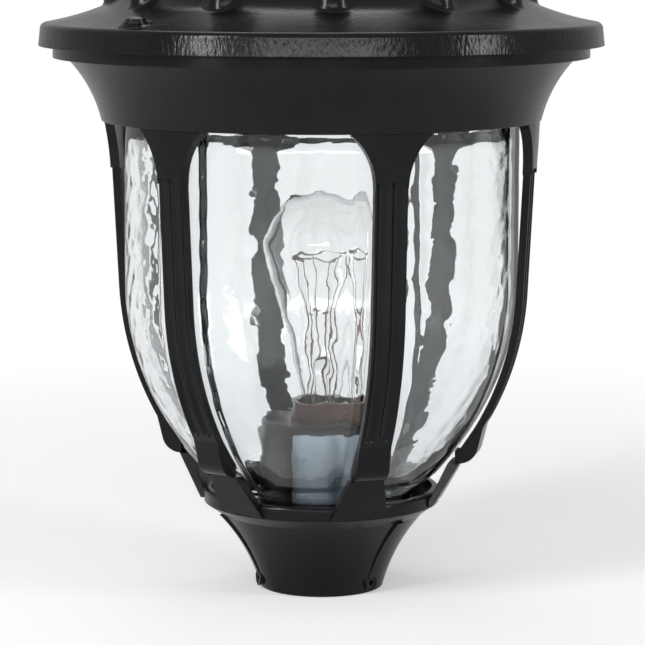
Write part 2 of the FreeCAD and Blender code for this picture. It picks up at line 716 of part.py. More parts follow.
def glass_meridian():
    """Groove line as (x, z) points: upright foot, floor, knee, the ribs' arc, then the upright rim."""
    radius = size("rib_arc_radius - rib_thickness - glass_cage_gap")
    centre = Vector(size(ARC_CENTRE_RADIUS), 0, size(ARC_CENTRE))

    def on_arc(height):
        drop = centre.z - height
        return Vector(centre.x + math.sqrt(radius ** 2 - drop ** 2), 0, height)

    foot = Vector(size("glass_foot_radius"), 0, size(GLASS_FOOT))
    neck = foot + Vector(0, 0, size("glass_foot_rise"))
    floor = foot + Vector(size("glass_floor_reach"), 0, size("glass_floor_rise"))
    knee = on_arc(foot.z + size("glass_knee_rise"))
    bend = on_arc(size(ARC_TOP))
    middle = on_arc((knee.z + bend.z) / 2)
    low = Part.BSplineCurve()
    low.interpolate(Points=[foot, neck, floor, knee], InitialTangent=Vector(0, 0, 1),
                    FinalTangent=Vector(centre.z - knee.z, 0, knee.x - centre.x).normalize())
    line = Part.Wire([low.toShape(), Part.Arc(knee, middle, bend).toShape()])
    points = line.discretize(QuasiDeflection=size("glass_row_sag"))
    for height in (f"{GLASS_TOP} - glass_rim_fade", GLASS_TOP):
        points.append(Vector(bend.x, 0, size(height)))
    return points


def smooth_step(value, low, high):
    """Zero below low, one above high, and an even change between them."""
    share = min(max((value - low) / (high - low), 0.0), 1.0)
    return share ** 2 * (3 - 2 * share)


def glass_lobe(height):
    """How far the crests stand out from the grooves: most at the knee, nothing at foot and rim."""
    foot = size(GLASS_FOOT)
    knee = foot + size("glass_knee_rise")
    knee_lobe = size("glass_knee_lobe")
    settled = knee_lobe - size("glass_lobe_rise")
    swell = smooth_step(height, foot + size("glass_foot_rise"), knee)
    lobe = knee_lobe * swell - settled * smooth_step(height, knee, size(BLOCK_TOP))
    return lobe * (1 - smooth_step(height, size(f"{GLASS_TOP} - glass_rim_fade"), size(GLASS_TOP)))


def glass_skin(inset, lobed):
    """The solid inside the lobed outer skin, or inside a round skin that lies in from its grooves."""
    points = glass_meridian()
    rows = []
    for index, point in enumerate(points):
        along = points[min(index + 1, len(points) - 1)] - points[max(index - 1, 0)]
        if index == 0:
            along = Vector(0, 0, 1)
        along.normalize()
        rise = glass_lobe(point.z) if lobed else 0.0
        rows.append(glass_outline(point.z + inset * along.x, point.x - inset * along.z, rise))
    return Part.makeLoft(rows, True, True)


def glass():
    """One-piece pressed glass, lobed outside and round inside: it curls in from a knee to its foot."""
    node = doc.addObject("Part::Feature", "glass")
    node.Label = "glass"
    node.Shape = glass_skin(0.0, True).cut(glass_skin(size("glass_wall"), False))
    return node


def joint_screw(label, grip, countersunk=False):
    """A small screw along its own +Z, its head's seat at zero; the grip is what it holds."""
    body = new_body(label)
    head = "-countersink_depth" if countersunk else "-joint_head_height"
    places = [("0", head), ("joint_head_radius", head)]
    if countersunk:
        places = [("0", "0"), ("joint_head_radius", "0"),
                  ("joint_screw_radius", "countersink_depth")]
    else:
        places += [("joint_head_radius", "0"), ("joint_screw_radius", "0")]
    reach = f"{grip} + joint_screw_bite - hole_clearance"
    places += [("joint_screw_radius", reach), ("0", reach)]
    revolve(body, outline(new_sketch(body, "XZ_Plane"), places))
    return body


def radial_places(radius, height, first, count):
    """Placements that point a screw outwards at equal steps round the lantern."""
    places = []
    for number in range(count):
        turn = Rotation(Vector(0, 0, 1), first + 360.0 / count * number - 90.0)
        base = turn.multVec(Vector(size(radius), 0, size(height)))
        places.append(Placement(base, turn * Rotation(Vector(0, 1, 0), 90)))
    return places


def joint_screws():
    """Screws of the rib heads, rib feet and glass clips, and the earthing screw."""
    hidden = []
    head = joint_screw("rib_head_screw_form", "rib_tongue_wall + free_clearance")
    group("rib_head_screws", head, radial_places(f"{LIP_INNER} - free_clearance - rib_tongue_wall",
                                                 f"{CAGE_TOP} + rib_tongue_rise / 2", 0.0, RIBS))
    foot = joint_screw("rib_foot_screw_form", "lug_tongue_wall + free_clearance", True)
    group("rib_foot_screws", foot, radial_places(LUG_TONGUE_INNER,
                                                 f"{LUG_TOP} + lug_tongue_rise / 2", 0.0, RIBS))
    clip = joint_screw("glass_clip_screw_form", "clip_sheet + free_clearance")
    group("glass_clip_screws", clip, radial_places(f"{LIP_INNER} - free_clearance - clip_sheet",
                                                   CLIP_SCREW, BEAD_ANGLE, BEADS))
    hidden += [head, foot, clip]
    earth = joint_screw("ground_screw", "0")
    earth.Placement = Placement(turned(0.0).multVec(Vector(size("ground_screw_place"), 0, size(FLOOR_TOP))),
                                Rotation(Vector(1, 0, 0), 180))
    return hidden


def glass_clip(number):
    """A bent strip: one leg on the collar's inner wall, one over the glass's rim."""
    body = new_body(f"glass_clip_{number}", BEAD_ANGLE + BEAD_STEP * (number - 1))
    wall_face = f"({LIP_INNER} - free_clearance)"
    rim = f"({GLASS_TOP} + free_clearance)"
    reach = f"({GLASS_RIM} - clip_reach)"
    pad(body, outline(new_sketch(body, "XZ_Plane"), [
        (reach, rim),
        (wall_face, rim),
        (wall_face, f"{rim} + clip_leg"),
        (f"{wall_face} - clip_sheet", f"{rim} + clip_leg"),
        (f"{wall_face} - clip_sheet", f"{rim} + clip_sheet"),
        (reach, f"{rim} + clip_sheet"),
    ]), "clip_width")
    primitive(body, "SubtractiveCylinder",
              {"Radius": "joint_screw_radius + hole_clearance", "Height": "clip_sheet + overrun_length * 2"},
              (f"{wall_face} - clip_sheet - overrun_length", "0", CLIP_SCREW), radial_turn())
    return body


def ring_of(label, inner, outer, low, high):
    """A plain ring of rectangular section."""
    return revolved_body(label, [(inner, low), (outer, low), (outer, high), (inner, high)])


def roof():
    """Cast roof: rim band, coved brim and dome with petals all round, hollowed from below."""
    body = new_body("roof", PETAL_ANGLE)
    revolve(body, outline(new_sketch(body, "XZ_Plane"), [
        ("0", COLLAR_TOP),
        ("roof_radius", COLLAR_TOP),
        ("roof_radius", f"{ROOF_SHOULDER} - roof_edge_radius", "roof_edge_radius", 1),
        ("roof_radius - roof_edge_radius", ROOF_SHOULDER, "brim_arc_radius", -1),
        ("brim_inner_radius", BRIM_TOP, "dome_foot_cove", -1),
        (DOME_FOOT_RADIUS, DOME_FOOT, "dome_arc_radius", 1),
        (DOME_TOP_RADIUS, DOME_TOP, "crown_bead_radius", 1),
        (f"{DOME_TOP_RADIUS} - crown_bead_width", f"{DOME_TOP} + crown_bead_rise", "neck_cove_radius", -1),
        ("neck_radius", NECK_TOP),
        ("0", NECK_TOP),
    ]))
    petal(body)
    hollow = new_sketch(body, "XZ_Plane")
    seat_inner = "(roof_seat_radius - roof_seat_wall)"
    outline(hollow, [
        ("0", f"{COLLAR_TOP} - overrun_length"),
        (seat_inner, f"{COLLAR_TOP} - overrun_length"),
        (seat_inner, f"{BRIM_TOP} - roof_wall * 2"),
        ("brim_inner_radius - roof_wall / 2", f"{BRIM_TOP} - roof_wall"),
        (f"{DOME_FOOT_RADIUS} - roof_wall * cos(dome_foot_angle * 1deg)",
         f"{DOME_FOOT} - roof_wall * sin(dome_foot_angle * 1deg)", "dome_arc_radius - roof_wall", 1),
        (f"{DOME_TOP_RADIUS} - roof_wall * cos(dome_top_angle * 1deg)",
         f"{DOME_TOP} - roof_wall * sin(dome_top_angle * 1deg)"),
        (f"{DOME_TOP_RADIUS} - crown_bead_width * 2", f"{DOME_TOP} - roof_wall / 2"),
        ("neck_radius - roof_wall", f"{NECK_UNDER} - roof_wall / 2"),
        ("neck_radius - roof_wall", NECK_UNDER),
        ("0", NECK_UNDER),
    ])
    revolve(body, hollow, "Groove")
    channel = new_sketch(body, "XZ_Plane")
    outline(channel, [
        ("roof_seat_radius", f"{COLLAR_TOP} - overrun_length"),
        ("roof_radius - roof_wall", f"{COLLAR_TOP} - overrun_length"),
        ("roof_radius - roof_wall", f"{ROOF_SHOULDER} - roof_wall"),
        ("roof_seat_radius", f"{ROOF_SHOULDER} - roof_wall + roof_channel_rise"),
    ])
    revolve(body, channel, "Groove")
    first = ROOF_SCREW_ANGLES[0] - PETAL_ANGLE
    around(body, "AdditiveCylinder",
           {"Radius": "roof_pad_radius", "Height": f"{PAD_TOP} - {COLLAR_TOP}"},
           "roof_screw_place", COLLAR_TOP, first, len(ROOF_SCREW_ANGLES), upright=True)
    around(body, "SubtractiveCylinder",
           {"Radius": "roof_screw_radius + hole_clearance",
            "Height": f"{PAD_TOP} - {COLLAR_TOP} + overrun_length * 2"},
           "roof_screw_place", f"{COLLAR_TOP} - overrun_length", first, len(ROOF_SCREW_ANGLES), upright=True)
    around(body, "SubtractiveCylinder",
           {"Radius": "roof_screw_flange + hole_clearance", "Height": "brim_rise"},
           "roof_screw_place", PAD_TOP, first, len(ROOF_SCREW_ANGLES), upright=True)
    primitive(body, "SubtractiveCylinder",
              {"Radius": "stud_radius + hole_clearance", "Height": "neck_floor + overrun_length * 2"},
              ("0", "0", f"{NECK_UNDER} - overrun_length"))
    return body


def petal(body):
    """Petals on the dome: a tapering round lobe that follows the dome's arc to a round tip."""
    path_radius = "(dome_arc_radius - petal_sink)"
    first = f"acos((petal_tip_radius - petal_radius - dome_centre_radius) / {path_radius})"
    last = "(petal_top_angle * 1deg)"
    sections = []
    for station in range(PETAL_STATIONS + 1):
        share = station / PETAL_STATIONS
        angle = f"({first} + ({last} - {first}) * {share:.4f})"
        radius = f"(petal_radius + (petal_top_radius - petal_radius) * {share:.4f})"
        sketch = new_sketch(body, "XY_Plane")
        turn = Rotation(Vector(0, 1, 0), -size(angle))
        sketch.AttachmentOffset = Placement(Vector(size("dome_centre_radius"), 0, size(DOME_CENTRE)), turn)
        sketch.setExpression("AttachmentOffset.Base.x", bound("dome_centre_radius"))
        sketch.setExpression("AttachmentOffset.Base.z", bound(DOME_CENTRE))
        sections.append(circle(sketch, (path_radius, "0"), radius))
    lobe = loft(body, sections)
    tips = []
    for angle, radius in ((first, "petal_radius"), (last, "petal_top_radius")):
        tips.append(ball(body, radius, f"dome_centre_radius + {path_radius} * cos({angle})",
                         f"{DOME_CENTRE} + {path_radius} * sin({angle})"))
    polar(body, [lobe] + tips, int(size("petal_count")))


def finial():
    """Turned finial: foot, waist, ball and tip, with a blind thread for its stud."""
    foot_top = f"({NECK_TOP} + finial_foot_height)"
    waist = f"({foot_top} + finial_waist_height)"
    ball_top = (f"({waist} + sqrt(finial_ball_radius ^ 2 - finial_waist_radius ^ 2)"
                f" + sqrt(finial_ball_radius ^ 2 - finial_tip_radius ^ 2))")
    tip = f"({ball_top} + finial_tip_height)"
    bore = "(stud_radius + running_clearance)"
    return revolved_body("finial", [
        (bore, NECK_TOP),
        ("finial_foot_radius", NECK_TOP),
        ("finial_foot_radius", foot_top, "finial_waist_height", -1),
        ("finial_waist_radius", waist, "finial_ball_radius", 1),
        ("finial_tip_radius", ball_top),
        ("finial_tip_radius", tip, "finial_tip_radius", 1),
        ("0", f"{tip} + finial_tip_radius"),
        ("0", f"{NECK_TOP} + finial_thread_depth + overrun_length"),
        (bore, f"{NECK_TOP} + finial_thread_depth + overrun_length"),
    ])


def rod(label, radius, low, length):
    """A plain upright round rod on the lantern's axis."""
    item = doc.addObject("Part::Cylinder", label)
    item.Label = label
    item.setExpression("Radius", bound(radius))
    item.setExpression("Height", bound(length))
    item.setExpression("Placement.Base.z", bound(low))
    return item


def hex_nut(label, width, bore, low, height):
    """A hexagon nut on the lantern's axis."""
    blank = doc.addObject("Part::Prism", f"{label}_blank")
    blank.Polygon = 6
    blank.setExpression("Circumradius", bound(f"{width} / sqrt(3)"))
    blank.setExpression("Height", bound(height))
    blank.setExpression("Placement.Base.z", bound(low))
    hole = rod(f"{label}_hole", bore, f"{low} - overrun_length", f"{height} + overrun_length * 2")
    nut = doc.addObject("Part::Cut", label)
    nut.Label = label
    nut.Base = blank
    nut.Tool = hole
    return nut


def finial_fixings():
    """Stud through the roof's neck, with its washer and nut inside the roof."""
    washer_under = f"({NECK_UNDER} - stud_washer_thickness)"
    nut_under = f"({washer_under} - stud_nut_height)"
    stud_foot = f"({nut_under} - stud_radius)"
    stud_top = f"({NECK_TOP} + finial_thread_depth)"
    bore = "(stud_radius + running_clearance)"
    rod("finial_stud", "stud_radius", stud_foot, f"{stud_top} - {stud_foot}")
    ring_of("finial_washer", bore, "stud_washer_radius", washer_under, NECK_UNDER)
    hex_nut("finial_nut", "stud_nut_width", bore, nut_under, "stud_nut_height")


def roof_screw(number):
    """Flanged screw through the brim; its flange sits on the roof's round pad."""
    body = new_body(f"roof_screw_{number}", ROOF_SCREW_ANGLES[number - 1])
    flange_top = f"({PAD_TOP} + roof_screw_flange_height)"
    foot = f"({COLLAR_TOP} - roof_screw_bite)"
    places = [
        ("0", foot),
        ("roof_screw_radius", foot),
        ("roof_screw_radius", PAD_TOP),
        ("roof_screw_flange", PAD_TOP),
        ("roof_screw_flange", flange_top),
        ("roof_screw_head", flange_top),
        ("roof_screw_head", f"{flange_top} + roof_screw_dome / 2",
         "(roof_screw_head ^ 2 + (roof_screw_dome / 2) ^ 2) / roof_screw_dome", 1),
        ("0", f"{flange_top} + roof_screw_dome"),
    ]
    revolve(body, outline(new_sketch(body, "XZ_Plane"), places))
    body.Placement = Placement(turned(ROOF_SCREW_ANGLES[number - 1])
                               .multVec(Vector(size("roof_screw_place"), 0, 0)), Rotation())
    return body


def set_screw(number):
    """Headless screw in a fitter boss, with a hexagon socket in its outer end."""
    body = new_body(f"set_screw_{number}", BEAD_ANGLE + BEAD_STEP * (number - 1))
    primitive(body, "AdditiveCylinder", {"Radius": "set_screw_radius", "Height": "set_screw_length"},
              ("post_bore_radius", "0", "set_screw_height"), radial_turn())
    socket = primitive(body, "SubtractivePrism",
                       {"Circumradius": "set_socket_width / sqrt(3)",
                        "Height": "set_socket_depth + overrun_length"},
                       ("post_bore_radius + set_screw_length - set_socket_depth", "0",
                        "set_screw_height"), radial_turn())
    socket.Polygon = 6
    return body


def lampholder():
    """Hollow stem with its nuts, sheet cup, phenolic body, screw shell and centre contact."""
    ring_of("nipple", "nipple_bore", "nipple_radius", f"{FLOOR_UNDER} - nipple_drop",
            f"{HOLDER_UNDER} + nipple_engagement")
    bore = "(nipple_radius + running_clearance)"
    washer_under = f"({FLOOR_UNDER} - nipple_washer_thickness)"
    ring_of("nipple_washer", bore, "nipple_washer_radius", washer_under, FLOOR_UNDER)
    hex_nut("nipple_nut_lower", "nipple_nut_width", bore, f"{washer_under} - nipple_nut_height",
            "nipple_nut_height")
    hex_nut("nipple_nut_upper", "nipple_nut_width", bore, FLOOR_TOP, "nipple_nut_height")
    cup_inner = "(cup_radius - cup_sheet)"
    mouth = "(holder_radius + free_clearance)"
    revolved_body("socket_cup", [
        (cup_inner, FLOOR_TOP),
        ("cup_radius", FLOOR_TOP),
        ("cup_radius", f"{CUP_TOP} - cup_shoulder", "cup_shoulder", 1),
        ("cup_radius - cup_shoulder", CUP_TOP),
        (mouth, CUP_TOP),
        (mouth, f"{CUP_TOP} - cup_sheet"),
        ("cup_radius - cup_shoulder", f"{CUP_TOP} - cup_sheet", "cup_shoulder - cup_sheet", -1),
        (cup_inner, f"{CUP_TOP} - cup_shoulder"),
    ])
    shell_seat = f"({SHELL_INNER} + shell_wall + slip_clearance)"
    revolved_body("lampholder", [
        ("0", f"{HOLDER_UNDER} + nipple_engagement"),
        (bore, f"{HOLDER_UNDER} + nipple_engagement"),
        (bore, HOLDER_UNDER),
        ("holder_radius", HOLDER_UNDER),
        ("holder_radius", CUP_TOP),
        ("holder_rim_radius", CUP_TOP),
        ("holder_rim_radius", HOLDER_TOP),
        ("holder_mouth_radius", HOLDER_TOP),
        ("holder_mouth_radius", f"{HOLDER_FLOOR} + shell_height"),
        (shell_seat, f"{HOLDER_FLOOR} + shell_height"),
        (shell_seat, HOLDER_FLOOR),
        ("0", HOLDER_FLOOR),
    ])
    ring_of("lampholder_shell", SHELL_INNER, f"{SHELL_INNER} + shell_wall", HOLDER_FLOOR,
            f"{HOLDER_FLOOR} + shell_height")
    rod("lampholder_contact", "contact_radius", HOLDER_FLOOR, "contact_thickness")


def lamp():
    """Clear lamp: contact, insulator, base shell, envelope, stem, wires and filament."""
    insulator_foot = f"({LAMP_FOOT} + lamp_contact_height)"
    shell_foot = f"({insulator_foot} + lamp_insulator_height)"
    shell_top = f"({shell_foot} + lamp_base_height)"
    shell_inner = "(lamp_base_radius - lamp_base_sheet)"
    rod("lamp_contact", "lamp_contact_radius", LAMP_FOOT, "lamp_contact_height")
    revolved_body("lamp_base_insulator", [
        ("0", insulator_foot),
        ("lamp_insulator_radius", insulator_foot),
        (shell_inner, shell_foot),
        (shell_inner, f"{shell_foot} + overrun_length"),
        ("0", f"{shell_foot} + overrun_length"),
    ])
    ring_of("lamp_base_shell", shell_inner, "lamp_base_radius", shell_foot, shell_top)
    neck_foot = f"({shell_top} - lamp_neck_depth)"
    neck_top = f"({shell_top} + lamp_neck_rise)"
    centre = f"({LAMP_TOP} - lamp_bulb_radius)"
    join = "lamp_bulb_radius * cos(lamp_join_angle * 1deg)"
    join_height = f"{centre} - lamp_bulb_radius * sin(lamp_join_angle * 1deg)"
    inner = "(lamp_bulb_radius - lamp_glass)"
    revolved_body("lamp_envelope", [
        ("lamp_neck_radius", neck_foot),
        ("lamp_neck_radius", neck_top, "lamp_taper_radius", -1),
        (join, join_height, "lamp_bulb_radius", 1),
        ("0", LAMP_TOP),
        ("0", f"{LAMP_TOP} - lamp_glass", inner, -1),
        (f"{inner} * cos(lamp_join_angle * 1deg)", f"{centre} - {inner} * sin(lamp_join_angle * 1deg)",
         "lamp_taper_radius + lamp_glass", 1),
        ("lamp_neck_radius - lamp_glass", neck_top),
        ("lamp_neck_radius - lamp_glass", neck_foot),
    ])
    stem_top = f"({LAMP_FOOT} + lamp_stem_height)"
    revolved_body("lamp_stem", [
        ("0", neck_foot),
        ("lamp_neck_radius - lamp_glass - slip_clearance", neck_foot),
        ("lamp_stem_radius", f"{neck_foot} + lamp_stem_flare"),
        ("lamp_stem_radius", f"{stem_top} - lamp_stem_press"),
        ("lamp_stem_radius / 2", stem_top),
        ("0", stem_top),
    ])
    lamp_wires(size(stem_top))


def lamp_wires(stem_top):
    """Lead and support wires that rise from the stem, and the filament's ring on their tips."""
    ring = size("lamp_filament_width") / 2
    height = size(f"{LAMP_FOOT} + lamp_filament_height")
    wire = size("lamp_wire_radius")
    thread = size("lamp_filament_radius")
    gap = size("free_clearance")
    rods = []
    for number in range(FILAMENT_SUPPORTS):
        angle = math.radians(360.0 / FILAMENT_SUPPORTS * (number + 0.5))
        across = Vector(math.cos(angle), math.sin(angle), 0)
        foot = across * (size("lamp_stem_radius") / 2 - wire) + Vector(0, 0, stem_top + gap)
        tip = across * ring + Vector(0, 0, height - thread - gap - wire)
        rods.append(Part.makeCylinder(wire, (tip - foot).Length, foot, tip - foot))
    wires = doc.addObject("Part::Feature", "lamp_wires")
    wires.Label = "lamp_wires"
    wires.Shape = Part.makeCompound(rods)
    filament = doc.addObject("Part::Torus", "lamp_filament")
    filament.Label = "lamp_filament"
    filament.setExpression("Radius1", bound("lamp_filament_width / 2"))
    filament.setExpression("Radius2", bound("lamp_filament_radius"))
    filament.setExpression("Placement.Base.z", bound(f"{LAMP_FOOT} + lamp_filament_height"))
    filament.Angle3 = FILAMENT_SWEEP


def gaskets():
    """Ring under the glass's foot, and the roof's seal in the collar's groove."""
    middle = "(glass_foot_radius - glass_wall / 2)"
    ring_of("glass_gasket", f"{middle} - gasket_width / 2", f"{middle} + gasket_width / 2",
            FLOOR_TOP, GLASS_FOOT)
    seat = "(roof_seat_radius - roof_seat_wall / 2)"
    ring_of("roof_gasket", f"{seat} - roof_gasket_width / 2", f"{seat} + roof_gasket_width / 2",
            f"{COLLAR_TOP} - roof_gasket_depth", f"{COLLAR_TOP} - slip_clearance")


def build():
    """Make every piece and return the pattern pieces that aren't nodes themselves."""
    base_casting()
    for number in range(1, RIBS + 1):
        rib(number)
    collar()
    glass()
    gaskets()
    for number in range(1, BEADS + 1):
        glass_clip(number)
        set_screw(number)
    roof()
    finial()
    finial_fixings()
    for number in range(1, len(ROOF_SCREW_ANGLES) + 1):
        roof_screw(number)
    lampholder()
    lamp()
    return joint_screws()


def is_node(item, forms):
    """Whether an object is a finished piece: a body or solid that no other object uses."""
    if item in forms or item.TypeId.startswith(("Spreadsheet", "Sketcher", "App::")):
        return False
    if item.TypeId == "PartDesign::Body":
        return True
    return item.TypeId.startswith("Part::") and not item.InList


def export(forms):
    """Check every object and write each piece to its own file."""
    doc.recompute()
    for item in doc.Objects:
        if "Invalid" in item.State or "Error" in item.State:
            raise RuntimeError(f"{item.Name} ({item.Label}) failed: {item.State}")
    os.makedirs("parts", exist_ok=True)
    for item in doc.Objects:
        if not is_node(item, forms):
            continue
        if item.Shape.isNull() or not item.Shape.isValid() or not item.Shape.Solids:
            raise RuntimeError(f"{item.Label} has no sound solid")
        print(f"{item.Label}: {len(item.Shape.Solids)} solid(s), {item.Shape.Volume:.0f} mm3")
        item.Shape.exportStep(os.path.join("parts", f"{item.Label}.step"))


export(build())
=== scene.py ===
import math

import bmesh
import bpy
import numpy as np
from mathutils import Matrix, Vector


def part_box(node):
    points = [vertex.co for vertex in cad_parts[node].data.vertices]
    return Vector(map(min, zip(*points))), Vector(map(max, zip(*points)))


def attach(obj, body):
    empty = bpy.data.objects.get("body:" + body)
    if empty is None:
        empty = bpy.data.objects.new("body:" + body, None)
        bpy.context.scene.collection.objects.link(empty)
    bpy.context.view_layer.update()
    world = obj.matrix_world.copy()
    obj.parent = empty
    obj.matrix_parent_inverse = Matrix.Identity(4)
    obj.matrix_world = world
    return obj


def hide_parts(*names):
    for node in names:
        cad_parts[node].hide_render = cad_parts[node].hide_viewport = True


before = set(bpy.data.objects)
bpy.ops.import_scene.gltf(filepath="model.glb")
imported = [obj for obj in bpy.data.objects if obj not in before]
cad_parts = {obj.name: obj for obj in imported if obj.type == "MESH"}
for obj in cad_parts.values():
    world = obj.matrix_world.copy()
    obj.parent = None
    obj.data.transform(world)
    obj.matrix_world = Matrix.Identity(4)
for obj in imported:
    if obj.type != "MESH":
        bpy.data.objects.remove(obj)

scene = bpy.context.scene
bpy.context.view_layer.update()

# Post top lantern: black cast cage and roof, lobed clear glass, and a lamp in a grey cup.
# Metres, +Z up, the axis at x = y = 0. Angles round it count from the front (-Y) towards +X.


# ---------------------------------------------------------------- the view
# A long lens looks slightly down on the lantern from a little left of the front rib, so
# that two cage ribs stand in front and one more closes each side.
CAMERA_TURN = math.radians(-18.0)
CAMERA_REACH = 1.938
CAMERA_HEIGHT = 0.4572
AIM_HEIGHT = 0.1823
AIM_RIGHT = 0.0007
FOCAL_PIXELS = 2858.0
FRAME_PIXELS = 645.0
SENSOR_WIDTH = 36.0

camera_data = bpy.data.cameras.new("camera")
camera_data.sensor_width = SENSOR_WIDTH
camera_data.lens = FOCAL_PIXELS / FRAME_PIXELS * SENSOR_WIDTH
camera = bpy.data.objects.new("camera", camera_data)
scene.collection.objects.link(camera)
across = Vector((math.cos(CAMERA_TURN), math.sin(CAMERA_TURN), 0.0))
aim = across * AIM_RIGHT + Vector((0.0, 0.0, AIM_HEIGHT))
stand = Vector((CAMERA_REACH * math.sin(CAMERA_TURN), -CAMERA_REACH * math.cos(CAMERA_TURN),
                CAMERA_HEIGHT))
camera.location = across * AIM_RIGHT + stand
camera.rotation_mode = "QUATERNION"
camera.rotation_quaternion = (aim - camera.location).to_track_quat("-Z", "Y")
scene.camera = camera
scene.view_settings.view_transform = "Standard"


# ---------------------------------------------------------------- studio
# A white sweep under four plain soft boxes. The sweep shows white to the eye, to gloss and
# through the glass, and near the lantern it still holds a soft shadow.
class Value:
    """A number or colour somewhere in a finish; arithmetic on it adds Math nodes."""

    def __init__(self, finish, socket):
        self.finish = finish
        self.socket = socket

    def math(self, operation, *others):
        return self.finish.node("ShaderNodeMath", {"operation": operation}, [self, *others])

    def __add__(self, other):
        return self.math("ADD", other)

    def __mul__(self, other):
        return self.math("MULTIPLY", other)


class Finish:
    """A surface finish: one material whose nodes are added by node() and closed by output()."""

    def __init__(self, name):
        self.material = bpy.data.materials.new(name)
        self.material.use_nodes = True
        self.tree = self.material.node_tree
        self.tree.nodes.clear()

    def add(self, kind, settings=None, values=()):
        """Add a node: its settings first, then its inputs by place or by name."""
        node = self.tree.nodes.new(kind)
        for name, setting in (settings or {}).items():
            setattr(node, name, setting)
        pairs = values.items() if isinstance(values, dict) else enumerate(values)
        for key, value in pairs:
            if isinstance(value, Value):
                self.tree.links.new(value.socket, node.inputs[key])
            else:
                node.inputs[key].default_value = value
        return node

    def node(self, kind, settings=None, values=(), output=0):
        """Add a node and return one of its outputs."""
        return Value(self, self.add(kind, settings, values).outputs[output])

    def place(self):
        """The point on the object, in metres."""
        return self.node("ShaderNodeTexCoord", output="Object")

    def upward(self):
        """The height on the object, in metres."""
        return self.node("ShaderNodeSeparateXYZ", {}, [self.place()], output="Z")

    def noise(self, scale, detail=2.0, roughness=0.5, at=None):
        """Soft noise from 0 to 1 whose features are about 1 / scale metres wide."""
        return self.node("ShaderNodeTexNoise", {}, {"Vector": at or self.place(), "Scale": scale,
                                                    "Detail": detail, "Roughness": roughness})

    def spread(self, value, low, high, first, last):
        """Carry a value from one range to another, held at both ends."""
        return self.node("ShaderNodeMapRange", {}, [value, low, high, first, last])

    def mix(self, share, first, last):
        """Mix two colours; inputs 6 and 7 and output 2 are the node's colour sockets."""
        return self.node("ShaderNodeMix", {"data_type": "RGBA"}, {0: share, 6: first, 7: last}, 2)

    def output(self, surface):
        """Close the finish with the surface that it shows."""
        self.add("ShaderNodeOutputMaterial", {}, {"Surface": surface})
        return self.material


GLOSS_SHARE = 0.30


def seen_directly(finish):
    """One for the eye and for looks through glass, a share for gloss, nought for plain lighting."""
    path = finish.add("ShaderNodeLightPath")
    eye, gloss, through = [Value(finish, path.outputs[name])
                           for name in ("Is Camera Ray", "Is Glossy Ray", "Is Transmission Ray")]
    return eye.math("MAXIMUM", through).math("MAXIMUM", gloss * GLOSS_SHARE)


SWEEP_RADIUS = 14.0
SWEEP_CORNERS = 96
SWEEP_DROP = 0.0004
PAPER_GREY = (0.86, 0.86, 0.86, 1.0)
PAPER_GLOW = 0.28
PAPER_FADE = (0.35, 1.0)
SKY_BLUE = (0.93, 0.96, 1.0, 1.0)
SKY_STRENGTH = 0.33
WHITE = (1.0, 1.0, 1.0, 1.0)
BOX_AIM = Vector((0.0, 0.0, 0.28))

world = bpy.data.worlds.new("studio")
world.use_nodes = True
scene.world = world


class WorldFinish(Finish):
    """The same node calls on the world's tree."""

    def __init__(self, made):
        self.tree = made.node_tree
        self.tree.nodes.clear()


sky = WorldFinish(world)
lit = sky.node("ShaderNodeBackground", {}, {"Color": SKY_BLUE, "Strength": SKY_STRENGTH})
plain = sky.node("ShaderNodeBackground", {}, {"Color": WHITE, "Strength": 1.0})
chosen = sky.node("ShaderNodeMixShader", {}, [seen_directly(sky), lit, plain])
sky.add("ShaderNodeOutputWorld", {}, {"Surface": chosen})

sweep_mesh = bpy.data.meshes.new("sweep")
turns = np.linspace(0.0, 2.0 * np.pi, SWEEP_CORNERS + 1)[:-1]
ring = np.stack([SWEEP_RADIUS * np.cos(turns), SWEEP_RADIUS * np.sin(turns),
                 np.full_like(turns, -SWEEP_DROP)], axis=1)
sweep_mesh.from_pydata(ring.tolist(), [], [list(range(len(ring)))])
sweep = bpy.data.objects.new("sweep", sweep_mesh)
scene.collection.objects.link(sweep)
paper = Finish("white_sweep")
matt = paper.node("ShaderNodeBsdfDiffuse", {}, {"Color": PAPER_GREY})
glow = paper.node("ShaderNodeEmission", {}, {"Color": WHITE, "Strength": PAPER_GLOW})
near = paper.node("ShaderNodeAddShader", {}, [matt, glow])
far = paper.node("ShaderNodeEmission", {}, {"Color": WHITE, "Strength": 1.0})
away = paper.node("ShaderNodeVectorMath", {"operation": "LENGTH"}, [paper.place()], output="Value")
fade = paper.spread(away, *PAPER_FADE, 0.0, 1.0)
both = paper.node("ShaderNodeMixShader", {}, [fade, near, far])
seen = paper.node("ShaderNodeMixShader", {}, [seen_directly(paper), matt, both])
sweep_mesh.materials.append(paper.output(seen))


def soft_box(name, turn, height, reach, width, tall, power):
    """A rectangular lamp at an angle round the lantern that faces its middle."""
    data = bpy.data.lights.new(name, "AREA")
    data.shape = "RECTANGLE"
    data.size = width
    data.size_y = tall
    data.energy = power
    lamp = bpy.data.objects.new(name, data)
    scene.collection.objects.link(lamp)
    angle = math.radians(turn)
    lamp.location = (reach * math.sin(angle), -reach * math.cos(angle), height)
    lamp.rotation_euler = (BOX_AIM - lamp.location).to_track_quat("-Z", "Y").to_euler()


soft_box("key_box", -64.0, 1.1, 2.0, 0.30, 1.3, 26.0)
soft_box("fill_box", 47.0, 1.0, 2.2, 0.30, 1.1, 16.0)
soft_box("front_box", -18.0, 0.84, 2.4, 2.4, 0.25, 19.0)
soft_box("top_box", 170.0, 2.2, 1.2, 1.2, 0.8, 7.0)


